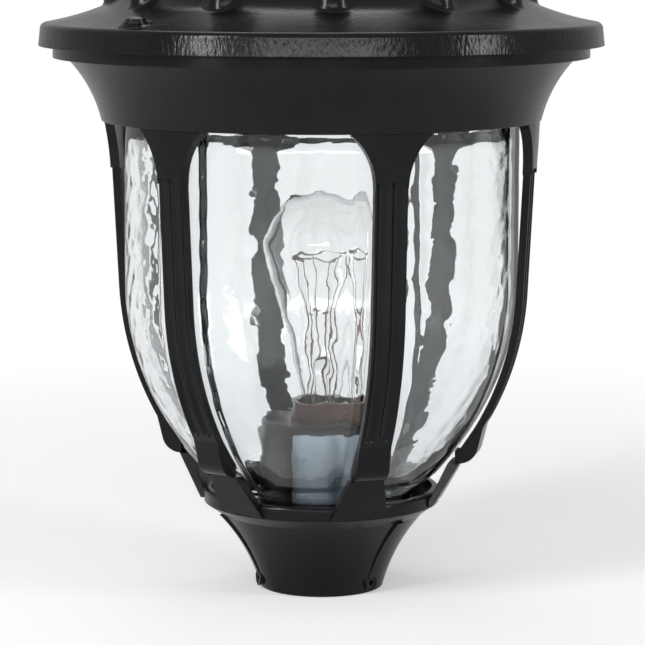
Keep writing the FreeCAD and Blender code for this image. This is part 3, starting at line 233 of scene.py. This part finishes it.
# ---------------------------------------------------------------- black castings
# Ribs, collar and base are sand-cast aluminium under one gloss powder coat. The coat flows
# over the cast skin as faint orange peel and rounds every edge by about a millimetre.
EDGE_ROUND = 0.0009
PEEL_DEPTH = 0.00016
BLACKS = ((0.0030, 0.0029, 0.0042, 1.0), (0.0062, 0.0054, 0.0068, 1.0))
BAND_FADE = 0.003


def black_gloss(name, hammer=0.0, band_top=0.0, band_hammer=0.0):
    """The powder coat, with a hammered skin of one strength that changes below the band's top."""
    finish = Finish(name)
    peel = finish.noise(520.0, 3.0, 0.55)
    cast = finish.noise(150.0, 2.0, 0.5)
    patches = finish.noise(22.0, 3.0, 0.6)
    height = peel * 0.45 + cast * 0.75
    if hammer:
        slanted = finish.node("ShaderNodeMapping", {}, {
            "Vector": finish.place(), "Rotation": (0.6, 0.5, 0.0), "Scale": (1.0, 1.0, 0.4)})
        strength = finish.spread(
            finish.upward(), band_top - BAND_FADE, band_top, band_hammer, hammer)
        height = height + finish.noise(460.0, 1.5, 0.5, at=slanted) * strength
    rounded = finish.node("ShaderNodeBevel", {"samples": 6}, {"Radius": EDGE_ROUND})
    bumped = finish.node("ShaderNodeBump", {}, {
        "Strength": 0.55, "Distance": PEEL_DEPTH, "Height": height, "Normal": rounded})
    colour = finish.mix(finish.spread(patches, 0.35, 0.7, 0.0, 1.0), *BLACKS)
    roughness = finish.spread(patches + peel * 0.3, 0.4, 0.95, 0.16, 0.27)
    coat = finish.node("ShaderNodeBsdfPrincipled", {}, {
        "Base Color": colour, "Roughness": roughness, "IOR": 1.45, "Specular IOR Level": 0.25,
        "Normal": bumped})
    return finish.output(coat)


def wear(node_name, material):
    """Give a CAD node's object its finish."""
    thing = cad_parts[node_name]
    thing.data.materials.clear()
    thing.data.materials.append(material)


powder_coat = black_gloss("black_powder_coat")
for node_name in ["base_casting", "collar", "finial"] + [f"rib_{number}" for number in range(1, 7)]:
    wear(node_name, powder_coat)


# ---------------------------------------------------------------- roof
# A cast dome on a hollow brim, with twelve tapering petals all round and a pad under each of
# its two screws. Its rim band leans in a little and keeps the hammered skin of the mould.
def grid_piece(name, points, material, close_rows=False, close_columns=True, sharp=None):
    """A mesh from points[row, column]: columns run round and join up; rows may close too."""
    rows, columns = points.shape[:2]
    number = np.arange(rows * columns).reshape(rows, columns)
    if close_rows:
        number = np.vstack([number, number[:1]])
    if close_columns:
        number = np.hstack([number, number[:, :1]])
    faces = np.stack([number[:-1, :-1], number[:-1, 1:], number[1:, 1:], number[1:, :-1]], axis=-1)
    mesh = bpy.data.meshes.new(name)
    mesh.from_pydata(points.reshape(-1, 3).tolist(), [], faces.reshape(-1, 4).tolist())
    shell = bmesh.new()
    shell.from_mesh(mesh)
    bmesh.ops.remove_doubles(shell, verts=shell.verts, dist=1e-6)
    bmesh.ops.recalc_face_normals(shell, faces=shell.faces)
    shell.to_mesh(mesh)
    shell.free()
    mesh.shade_smooth()
    if sharp is not None:
        mesh.set_sharp_from_angle(angle=math.radians(sharp))
    mesh.materials.append(material)
    piece = bpy.data.objects.new(name, mesh)
    scene.collection.objects.link(piece)
    return piece


def around_axis(radius, height, turn):
    """Points at a radius, a height and an angle round the axis, all as arrays."""
    point = np.broadcast_arrays(radius * np.sin(turn), -radius * np.cos(turn), height)
    return np.stack(point, axis=-1)


def bow(first, last, radius, hand, count):
    """Points on an arc between two (radius, height) points: a hand of 1 bulges to its right."""
    first, last = np.array(first), np.array(last)
    chord = last - first
    half = np.linalg.norm(chord) / 2.0
    side = np.array([chord[1], -chord[0]]) / (2.0 * half)
    centre = (first + last) / 2.0 - hand * side * math.sqrt(radius ** 2 - half ** 2)
    start = math.atan2(*(first - centre)[::-1])
    sweep = 2.0 * math.asin(half / radius) * hand
    turn = start + np.linspace(0.0, sweep, count)
    return centre + radius * np.stack([np.cos(turn), np.sin(turn)], axis=1)


def straight(first, last, count):
    """Evenly spaced points on a line between two (radius, height) points."""
    share = np.linspace(0.0, 1.0, count)[:, None]
    return np.array(first) + (np.array(last) - np.array(first)) * share


ROOF_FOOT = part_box("roof")[0][2]
ROOF_RADIUS = 0.1905
RIM_HEIGHT = 0.015
RIM_TOP = ROOF_FOOT + RIM_HEIGHT
RIM_EDGE = 0.004
RIM_DRAFT = 0.0012
BRIM_RISE = 0.010
BRIM_INNER = (0.150, RIM_TOP + BRIM_RISE)
BRIM_BOW = 0.200
BRIM_MARGINS = (0.0005, 0.002)
DOME_DROP = 0.0707
DOME_CENTRE = np.array([0.0215, BRIM_INNER[1] - DOME_DROP])
DOME_BOW = 0.140
DOME_FOOT_ANGLE = math.radians(35.2)
DOME_TOP_ANGLE = math.radians(74.9)
FOOT_COVE = 0.031
CROWN_BEAD = (0.0046, 0.008, 0.004)
NECK_RADIUS = 0.018
NECK_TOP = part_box("roof")[1][2]
NECK_COVE = 0.034
NECK_CAP = 0.006
NECK_STEP = 0.00225
ROOF_WALL = 0.0045
SEAT_RADII = (0.164, 0.170)
SEAT_CEILING = 0.0005
STUD_HOLE = 0.0034
PETALS = 12
FIRST_PETAL = math.radians(15.0)
PETAL_LINE = 0.135
PETAL_ENDS = (math.radians(38.0), math.radians(71.9))
PETAL_TIP_STRETCH = 1.75
PETAL_RADII = (0.0145, 0.0085)
PETAL_BLEND = 0.0030
SCREW_TURNS = np.radians([-60.0, 120.0])
SCREW_PLACE = 0.175
PAD_TOP = RIM_TOP + 0.0036
PAD_RADIUS = 0.0084
PAD_SLOPE = 0.0014
ROOF_COLUMNS = 600
PETAL_CROWDING = 0.15


def dome_point(angle, reach=DOME_BOW):
    """The point of the dome's meridian at an angle above its centre."""
    return DOME_CENTRE + reach * np.array([math.cos(angle), math.sin(angle)])


def roof_outside():
    """Meridian of the upper skin: rim band, shoulder, hollow brim, foot cove, dome, bead, neck."""
    shoulder = (ROOF_RADIUS - RIM_EDGE, RIM_TOP)
    dome_foot = dome_point(DOME_FOOT_ANGLE)
    dome_top = dome_point(DOME_TOP_ANGLE)
    bead = dome_top + (-CROWN_BEAD[1], CROWN_BEAD[2])
    return np.vstack([
        straight((ROOF_RADIUS, ROOF_FOOT), (ROOF_RADIUS - RIM_DRAFT, RIM_TOP - RIM_EDGE), 3),
        bow((ROOF_RADIUS - RIM_DRAFT, RIM_TOP - RIM_EDGE), shoulder, RIM_EDGE, 1, 7)[1:],
        bow(shoulder, BRIM_INNER, BRIM_BOW, -1, 32)[1:],
        bow(BRIM_INNER, dome_foot, FOOT_COVE, -1, 14)[1:],
        bow(dome_foot, dome_top, DOME_BOW, 1, 72)[1:],
        bow(dome_top, bead, CROWN_BEAD[0], 1, 7)[1:],
        bow(bead, (NECK_RADIUS, NECK_TOP), NECK_COVE, -1, 9)[1:],
        straight((NECK_RADIUS, NECK_TOP), (STUD_HOLE, NECK_TOP), 2)[1:],
    ])


def roof_inside():
    """Meridian of the lower skin, from the stud's hole back out to the rim."""
    top = dome_point(DOME_TOP_ANGLE, DOME_BOW - ROOF_WALL)
    foot = dome_point(DOME_FOOT_ANGLE, DOME_BOW - ROOF_WALL)
    under = NECK_TOP - NECK_CAP
    neck_inside = NECK_RADIUS - ROOF_WALL
    rim_inside = ROOF_RADIUS - ROOF_WALL
    return np.vstack([
        [(STUD_HOLE, under), (neck_inside, under), (neck_inside, under - NECK_STEP)],
        [dome_point(DOME_TOP_ANGLE) - (2.0 * CROWN_BEAD[1], ROOF_WALL / 2.0)],
        bow(top, foot, DOME_BOW - ROOF_WALL, -1, 9),
        [(BRIM_INNER[0] - ROOF_WALL / 2.0, BRIM_INNER[1] - ROOF_WALL),
         (SEAT_RADII[0], BRIM_INNER[1] - 2.0 * ROOF_WALL), (SEAT_RADII[0], ROOF_FOOT),
         (SEAT_RADII[1], ROOF_FOOT), (SEAT_RADII[1], RIM_TOP - SEAT_CEILING),
         (rim_inside, RIM_TOP - ROOF_WALL), (rim_inside, ROOF_FOOT)],
    ])


def petal_reach(angle, side):
    """Distance of a petal's skin from the dome's centre: a ball that tapers as it runs up the
    petal line, cut at a sideways distance from the petal's middle."""
    share = np.clip((angle - PETAL_ENDS[0]) / (PETAL_ENDS[1] - PETAL_ENDS[0]), 0.0, 1.0)
    ball = PETAL_RADII[0] + (PETAL_RADII[1] - PETAL_RADII[0]) * share
    past_end = angle - np.clip(angle, *PETAL_ENDS)
    past_end = np.where(past_end < 0.0, past_end / PETAL_TIP_STRETCH, past_end)
    room = ball ** 2 - side ** 2 - (PETAL_LINE * np.sin(past_end)) ** 2
    reach = PETAL_LINE * np.cos(past_end) + np.sqrt(np.maximum(room, 0.0))
    return np.where(room > 0.0, reach, 0.0)


def with_petals(outside, turn):
    """The upper skin as (radius, height) arrays, pushed out along rays from the dome's centre."""
    ray = outside - DOME_CENTRE
    angle = np.arctan2(ray[:, 1], ray[:, 0])[:, None]
    reach = np.linalg.norm(ray, axis=1)[:, None]
    step = 2.0 * math.pi / PETALS
    off_middle = (turn - FIRST_PETAL + step / 2.0) % step - step / 2.0
    radius = outside[:, :1]
    for _ in range(3):
        petal = petal_reach(angle, radius * np.sin(off_middle))
        share = np.clip(0.5 + 0.5 * (petal - reach) / PETAL_BLEND, 0.0, 1.0)
        blended = reach + (petal - reach) * share + PETAL_BLEND * share * (1.0 - share)
        pushed = np.where(share > 0.0, blended, reach)
        radius = DOME_CENTRE[0] + pushed * np.cos(angle)
    moved = share > 0.0
    return (np.where(moved, radius, outside[:, :1]),
            np.where(moved, DOME_CENTRE[1] + pushed * np.sin(angle), outside[:, 1:]))


def with_pads(radius, height, turn):
    """Level the brim to the pad's height inside a circle round each roof screw."""
    for place in SCREW_TURNS:
        away = np.hypot(radius * np.sin(turn - place), radius * np.cos(turn - place) - SCREW_PLACE)
        share = np.clip((PAD_RADIUS + PAD_SLOPE - away) / PAD_SLOPE, 0.0, 1.0)
        on_brim = (height > RIM_TOP - BRIM_MARGINS[0]) & (height < BRIM_INNER[1] + BRIM_MARGINS[1])
        levelled = height + (PAD_TOP - height) * share ** 2 * (3.0 - 2.0 * share)
        height = np.where(on_brim, levelled, height)
    return height


turn = np.linspace(0.0, 2.0 * np.pi, ROOF_COLUMNS + 1)[None, :-1]
turn = turn - PETAL_CROWDING / PETALS * np.sin(PETALS * (turn - FIRST_PETAL))
upper_radius, upper_height = with_petals(roof_outside(), turn)
upper_height = with_pads(upper_radius, upper_height, turn)
inside = roof_inside()
roof_points = np.vstack([around_axis(upper_radius, upper_height, turn),
                         around_axis(inside[:, :1], inside[:, 1:], turn)])
hammered = black_gloss("black_hammered_coat", hammer=1.2, band_top=RIM_TOP, band_hammer=3.0)
roof = grid_piece("cast_roof", roof_points, hammered, close_rows=True, sharp=40.0)
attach(roof, "roof_assembly")
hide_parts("roof")


# ---------------------------------------------------------------- glass
# One pressed shell of clear water glass: six lobes outside, one between each two ribs, and a
# round inside, with a lip that thickens towards the mouth. It is gently waved, so straight
# things behind it bend and break up.
GLASS_WALL = 0.0062
GLASS_FOOT = (0.062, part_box("glass")[0][2])
GLASS_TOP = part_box("glass")[1][2]
FOOT_CURVE = np.array([(0.0, 0.0), (0.0, 0.0035), (0.0004, 0.0065), (0.0020, 0.0095),
                       (0.0055, 0.0122), (0.0098, 0.0145)])
FOOT_SETTLE = 0.006
GLASS_ARC = 0.1907
ARC_CENTRE = (-0.05928, 0.21494)
ARC_TOP = 0.205
ARC_POINTS = 60
STRAIGHT_HEIGHTS = (0.230, 0.270)
BLUR_REACH = 3
KNEE_HEIGHT = 0.080
LOBE_START = 0.0065
LOBE_KNEE = 0.0045
LOBE_BODY = 0.0030
LOBE_SETTLED = 0.115
LOBE_SHOULDER = (0.66, 0.88)
RIM_FADE = 0.010
LIP_THICKENING = 0.0036
LIP_HEIGHT = 0.024
WAVES = 16
WAVES_ROUND = (10, 60)
WAVES_UP = (8.0, 40.0)
WAVE_HEIGHT = 0.000045
WAVE_SPAN = 0.1
CALM_FOOT = 0.004
CALM_HEIGHTS = (0.085, 0.305)
GLASS_ROWS = 122
GLASS_COLUMNS = 400


def smooth_step(value, low, high):
    """0 below low, 1 above high, 3t^2 - 2t^3 between."""
    share = np.clip((value - low) / (high - low), 0.0, 1.0)
    return share * share * (3.0 - 2.0 * share)


def glass_line(inset):
    """Groove line (radius, height) from foot to rim, moved in along its normal by the inset: a
    foot curve, a circular arc and a straight rim, with the joins averaged away."""
    drop = ARC_CENTRE[1] - np.linspace(KNEE_HEIGHT, ARC_TOP, ARC_POINTS)
    arc_radius = ARC_CENTRE[0] + np.sqrt(GLASS_ARC ** 2 - drop ** 2)
    arc = np.stack([arc_radius, ARC_CENTRE[1] - drop], axis=1)
    rim = np.array([[arc_radius[-1], height] for height in (*STRAIGHT_HEIGHTS, GLASS_TOP)])
    rough = np.vstack([np.array(GLASS_FOOT) + FOOT_CURVE, arc, rim])
    run = np.concatenate([[0.0], np.cumsum(np.linalg.norm(np.diff(rough, axis=0), axis=1))])
    even = np.linspace(0.0, run[-1], GLASS_ROWS)
    line = np.stack([np.interp(even, run, rough[:, 0]), np.interp(even, run, rough[:, 1])], axis=1)
    padded = np.pad(line, ((BLUR_REACH, BLUR_REACH), (0, 0)), mode="edge")
    near_points = 2 * BLUR_REACH + 1
    blurred = sum(padded[shift:shift + GLASS_ROWS] for shift in range(near_points)) / near_points
    line[BLUR_REACH + 1:-BLUR_REACH - 1] = blurred[BLUR_REACH + 1:-BLUR_REACH - 1]
    along = np.gradient(line, axis=0)
    along /= np.linalg.norm(along, axis=1)[:, None]
    ends = smooth_step(line[:, 1], GLASS_FOOT[1], GLASS_FOOT[1] + FOOT_SETTLE)
    lip = smooth_step(line[:, 1], GLASS_TOP - LIP_HEIGHT, GLASS_TOP) * (inset > 0.0)
    inward = inset + LIP_THICKENING * lip
    return line + np.stack([-along[:, 1] * inward, along[:, 0] * ends * inset], axis=1)


def glass_skin(inset, lobes, seed):
    """The groove line, plus lobes across each panel, plus slow waves as a sum of sine waves."""
    line = glass_line(inset)
    turn = np.linspace(0.0, 2.0 * np.pi, GLASS_COLUMNS + 1)[None, :-1]
    height = line[:, 1:2]
    swell = LOBE_KNEE * smooth_step(height, GLASS_FOOT[1] + LOBE_START, KNEE_HEIGHT)
    swell -= (LOBE_KNEE - LOBE_BODY) * smooth_step(height, KNEE_HEIGHT, LOBE_SETTLED)
    swell *= 1.0 - smooth_step(height, GLASS_TOP - RIM_FADE, GLASS_TOP)
    across_panel = np.abs((turn / (np.pi / 3.0)) % 1.0 * 2.0 - 1.0)
    pillow = 1.0 - smooth_step(across_panel, *LOBE_SHOULDER)
    dice = np.random.default_rng(seed)
    waves = 0.0
    for _ in range(WAVES):
        around_count = dice.integers(*WAVES_ROUND)
        up_count = dice.uniform(*WAVES_UP) * dice.choice([-1.0, 1.0])
        phase = dice.uniform(0.0, 2.0 * np.pi)
        waves = waves + np.sin(around_count * turn + up_count * height / WAVE_SPAN + phase)
    calm = (smooth_step(height, GLASS_FOOT[1] + CALM_FOOT, CALM_HEIGHTS[0])
            * (1.0 - smooth_step(height, CALM_HEIGHTS[1], GLASS_TOP)))
    ripple = WAVE_HEIGHT * waves / math.sqrt(WAVES) * calm
    return around_axis(line[:, 0:1] + lobes * swell * pillow + ripple, height, turn)


water_glass = Finish("clear_water_glass")
flat_grain = water_glass.node("ShaderNodeMapping", {}, {
    "Vector": water_glass.place(), "Scale": (1.0, 1.0, 2.0)})
fine = water_glass.noise(90.0, 1.2, 0.4, at=flat_grain)
broad = water_glass.noise(45.0, 1.0, 0.4)
dimple = water_glass.node("ShaderNodeBump", {}, {
    "Strength": 1.0, "Distance": 0.00010, "Height": fine + broad * 0.8})
tint = water_glass.mix(broad, (0.915, 0.938, 0.944, 1.0), (0.932, 0.953, 0.958, 1.0))
glass_body = water_glass.node("ShaderNodeBsdfPrincipled", {}, {
    "Base Color": tint, "Roughness": 0.0, "IOR": 1.50, "Transmission Weight": 1.0,
    "Normal": dimple})
water_glass.output(glass_body)

shell_points = np.vstack([glass_skin(0.0, 1.0, 11), glass_skin(GLASS_WALL, 0.0, 23)[::-1]])
glass = grid_piece("lobed_glass", shell_points, water_glass.material, close_rows=True, sharp=50.0)
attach(glass, "cage")
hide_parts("glass")


# ---------------------------------------------------------------- small metal parts
# Plated steel screws, clips, stem and nuts: grey zinc with a faint mottled sheen.
def plated(name, colour, roughness=0.32, metallic=1.0):
    """A fine-grained surface: each grain darkens the colour and changes the sheen a little."""
    finish = Finish(name)
    mottle = finish.noise(900.0, 3.0, 0.6)
    darker = tuple(0.82 * part for part in colour)
    shade = finish.mix(mottle, (*darker, 1.0), (*colour, 1.0))
    rough = finish.spread(mottle, 0.2, 0.8, roughness * 0.8, roughness * 1.25)
    bump = finish.node("ShaderNodeBump", {}, {
        "Strength": 0.3, "Distance": 0.00004, "Height": mottle})
    body = finish.node("ShaderNodeBsdfPrincipled", {}, {
        "Base Color": shade, "Metallic": metallic, "Roughness": rough, "Normal": bump})
    return finish.output(body)


zinc = plated("zinc_plate", (0.55, 0.56, 0.57))
for node_name in ("rib_head_screws", "rib_foot_screws", "glass_clip_screws", "glass_clip_1",
                  "glass_clip_2", "glass_clip_3", "finial_stud", "finial_nut", "finial_washer",
                  "nipple", "nipple_washer", "nipple_nut_lower", "nipple_nut_upper"):
    wear(node_name, zinc)
black_oxide = plated("black_oxide", (0.020, 0.020, 0.022), 0.20, 0.6)
for node_name in ("roof_screw_1", "roof_screw_2", "set_screw_1", "set_screw_2", "set_screw_3"):
    wear(node_name, black_oxide)
wear("ground_screw", plated("green_earth_screw", (0.03, 0.22, 0.06), 0.35, 0.3))
brass = plated("brass", (0.72, 0.50, 0.20), 0.28)
for node_name in ("lampholder_shell", "lampholder_contact", "lamp_contact"):
    wear(node_name, brass)
rubber = plated("rubber", (0.018, 0.018, 0.018), 0.7, 0.0)
for node_name in ("glass_gasket", "roof_gasket"):
    wear(node_name, rubber)


# ---------------------------------------------------------------- lampholder and cup
# A drawn sheet cup, sprayed dark grey, hides the stem and the wiring. The brown phenolic
# lampholder stands through its top, and a plain silver foil is stuck to its front. The foil's
# colour runs from dark at its foot to pale at its top, a painted sheen.
wear("socket_cup", plated("grey_spray", (0.026, 0.022, 0.022), 0.30, 0.35))
wear("lampholder", plated("brown_phenolic", (0.085, 0.035, 0.020), 0.25, 0.0))
FOIL_RADIUS = 0.0432
FOIL_TURN = math.radians(-14.4)
FOIL_HALF = math.radians(30.0)
FOIL_HEIGHTS = (0.067, 0.113)
FOIL_SHEET = 0.0001
FOIL_GRID = 61
CREASE_HEIGHT = 0.00016
CORNER_ROUNDING = 0.035


def foil_skin(lift):
    """A patch of the cup's round side, with corners rounded off and faint stuck-down creases."""
    share = np.linspace(-1.0, 1.0, FOIL_GRID)
    turn_share, height_share = np.meshgrid(share, share)
    corner = np.maximum(np.abs(turn_share), np.abs(height_share)) ** 14
    squeeze = 1.0 - CORNER_ROUNDING * corner * np.abs(turn_share * height_share) ** 4
    middle = (FOIL_HEIGHTS[0] + FOIL_HEIGHTS[1]) / 2.0
    half = (FOIL_HEIGHTS[1] - FOIL_HEIGHTS[0]) / 2.0
    crease = np.abs(np.sin(9.0 * turn_share + 4.0 * height_share)
                    * np.sin(5.0 * turn_share - 11.0 * height_share + 1.0))
    radius = FOIL_RADIUS + lift + CREASE_HEIGHT * (1.0 - crease ** 0.3)
    return around_axis(radius, middle + half * height_share * squeeze,
                       FOIL_TURN + FOIL_HALF * turn_share * squeeze)


foil_silver = Finish("foil_silver")
crumple = foil_silver.noise(70.0, 3.0, 0.6)
# Painted sheen: the foil's colour runs from dark blue-grey low down to pale silver at its top, as
# light would fall on it.
painted_sheen_upward = foil_silver.spread(foil_silver.upward() + crumple * 0.02, 0.080, 0.122, 0.0, 1.0)
foil_body = foil_silver.node("ShaderNodeBsdfPrincipled", {}, {
    "Base Color": foil_silver.mix(painted_sheen_upward, (0.13, 0.165, 0.20, 1.0), (0.42, 0.50, 0.57, 1.0)),
    "Metallic": 0.45, "Roughness": foil_silver.spread(crumple, 0.3, 0.7, 0.24, 0.42)})
foil_silver.output(foil_body)
foil = grid_piece("silver_foil", foil_skin(FOIL_SHEET), foil_silver.material, close_columns=False)
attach(foil, "cage")


# ---------------------------------------------------------------- lamp
# A clear pear lamp with a copper-coloured screw cap, a glass stem, and a ring filament that
# hangs on six hooked posts.
thin_glass = Finish("lamp_glass")
thin_body = thin_glass.node("ShaderNodeBsdfPrincipled", {}, {
    "Base Color": (1.0, 1.0, 1.0, 1.0), "Roughness": 0.0, "IOR": 1.45, "Transmission Weight": 1.0})
thin_glass.output(thin_body)
for node_name in ("lamp_envelope", "lamp_stem"):
    wear(node_name, thin_glass.material)
LAMP_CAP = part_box("lamp_base_shell")
CAP_RADIUS = LAMP_CAP[1][0]
THREAD_PITCH = 0.0036
THREAD_DEPTH = 0.0009
THREAD_START = 0.002
THREAD_END = (0.004, 0.001)
CAP_SHEET = 0.0004
CAP_COLUMNS = 96
CAP_ROWS = 121


def cap_skin(inset):
    """Rolled round thread: a cosine of height less turn, which dies out at both ends."""
    turn = np.linspace(0.0, 2.0 * np.pi, CAP_COLUMNS + 1)[None, :-1]
    foot, top = LAMP_CAP[0][2], LAMP_CAP[1][2]
    height = np.linspace(foot, top, CAP_ROWS)[:, None]
    fade = (smooth_step(height, foot, foot + THREAD_START)
            * (1.0 - smooth_step(height, top - THREAD_END[0], top - THREAD_END[1])))
    phase = 2.0 * np.pi * (height - foot) / THREAD_PITCH - turn
    radius = CAP_RADIUS - inset - THREAD_DEPTH * fade * (0.5 - 0.5 * np.cos(phase))
    return around_axis(radius, height, turn)


cap = grid_piece("screw_cap", np.vstack([cap_skin(0.0), cap_skin(CAP_SHEET)[::-1]]),
                 plated("lamp_cap", (0.66, 0.36, 0.20), 0.25), close_rows=True, sharp=60.0)
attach(cap, "lamp")
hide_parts("lamp_base_shell")
wear("lamp_base_insulator", plated("black_glass", (0.012, 0.012, 0.014), 0.12, 0.0))


def tube(points, radius, sides=8):
    """Rings of a round wire carried along a path; each ring stands square to the path there."""
    along = np.gradient(points, axis=0)
    along /= np.linalg.norm(along, axis=1)[:, None]
    helper = np.where(np.abs(along[:, 2:]) > 0.9, [[1.0, 0.0, 0.0]], [[0.0, 0.0, 1.0]])
    side = np.cross(along, helper)
    side /= np.linalg.norm(side, axis=1)[:, None]
    up = np.cross(side, along)
    angle = np.linspace(0.0, 2.0 * np.pi, sides + 1)[None, :-1, None]
    rings = points[:, None] + radius * (np.cos(angle) * side[:, None] + np.sin(angle) * up[:, None])
    closed = np.zeros((1, sides, 3))
    return np.vstack([closed + points[0], rings, closed + points[-1]])


def joined(name, pieces, material):
    """One piece from several grids of points."""
    parts = [grid_piece(f"{name}_part_{number}", points, material)
             for number, points in enumerate(pieces)]
    mesh = bmesh.new()
    for part in parts:
        mesh.from_mesh(part.data)
    whole = parts[0]
    mesh.to_mesh(whole.data)
    mesh.free()
    whole.data.shade_smooth()
    for part in parts[1:]:
        bpy.data.objects.remove(part)
    whole.name = name
    return whole


def smooth_path(corners, count=40):
    """A soft path past the corners: straight runs, then averaged twice with their neighbours."""
    corners = np.array(corners)
    run = np.concatenate([[0.0], np.cumsum(np.linalg.norm(np.diff(corners, axis=0), axis=1))])
    even = np.linspace(0.0, run[-1], count)
    path = np.stack([np.interp(even, run, corners[:, axis]) for axis in range(3)], axis=1)
    blurred = path.copy()
    for _ in range(2):
        blurred[1:-1] = (blurred[:-2] + blurred[1:-1] + blurred[2:]) / 3.0
    return blurred


FILAMENT_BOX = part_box("lamp_filament")
FILAMENT_HEIGHT = (FILAMENT_BOX[0][2] + FILAMENT_BOX[1][2]) / 2.0
FILAMENT_RING = FILAMENT_BOX[1][0] - 0.0008
FILAMENT_SPAN = math.radians(300.0)
FILAMENT_SAG = 0.0012
FILAMENT_WIRE = 0.00016
COIL_RADIUS = 0.0007
COIL_TURNS = 150
COIL_POINTS = 9
POSTS = 6
POST_FOOT = (0.0085, LAMP_CAP[1][2] + 0.001)
POST_BEND = 0.006
POST_TOP = 0.190
POST_RING = 0.0098
POST_RADIUS = 0.00055
HOOK_HALF = 0.0022
HOOK_RADIUS = 0.00035


def filament_line():
    """A fine helix wound on three hundred degrees of the ring, sagging a little between hooks."""
    share = np.linspace(0.0, 1.0, COIL_TURNS * COIL_POINTS)
    turn = FILAMENT_SPAN * share
    coil = 2.0 * np.pi * COIL_TURNS * share
    sag = -FILAMENT_SAG * np.abs(np.sin(POSTS / 2.0 * turn))
    radius = FILAMENT_RING + COIL_RADIUS * np.cos(coil)
    return np.stack([radius * np.cos(turn), radius * np.sin(turn),
                     FILAMENT_HEIGHT + sag + COIL_RADIUS * np.sin(coil)], axis=1)


wire_metal = plated("lamp_wire", (0.30, 0.20, 0.17), 0.35)
tungsten = plated("tungsten", (0.30, 0.17, 0.12), 0.4)
filament = joined("ring_filament", [tube(filament_line(), FILAMENT_WIRE, 4)], tungsten)
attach(filament, "lamp")
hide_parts("lamp_filament")

posts = []
upward = np.array([0.0, 0.0, 1.0])
for number in range(POSTS):
    angle = math.radians(360.0 / POSTS * number + 30.0)
    outward = np.array([math.cos(angle), math.sin(angle), 0.0])
    crossbar = HOOK_HALF * np.cross(upward, outward)
    foot = outward * POST_FOOT[0] + upward * POST_FOOT[1]
    bend = outward * POST_RING + upward * (POST_FOOT[1] + POST_BEND)
    top = outward * POST_RING + upward * POST_TOP
    posts.append(tube(smooth_path([foot, bend, top]), POST_RADIUS))
    posts.append(tube(np.linspace(top - crossbar, top + crossbar, 5), HOOK_RADIUS))
    posts.append(tube(smooth_path([
        top,
        outward * (POST_RING + 0.001) + upward * (POST_TOP + 0.004),
        outward * (FILAMENT_RING - 0.001) + upward * (FILAMENT_HEIGHT - 0.004),
        outward * FILAMENT_RING + upward * (FILAMENT_HEIGHT - FILAMENT_SAG),
    ]), HOOK_RADIUS))
posts_piece = joined("filament_posts", posts, wire_metal)
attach(posts_piece, "lamp")
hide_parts("lamp_wires")
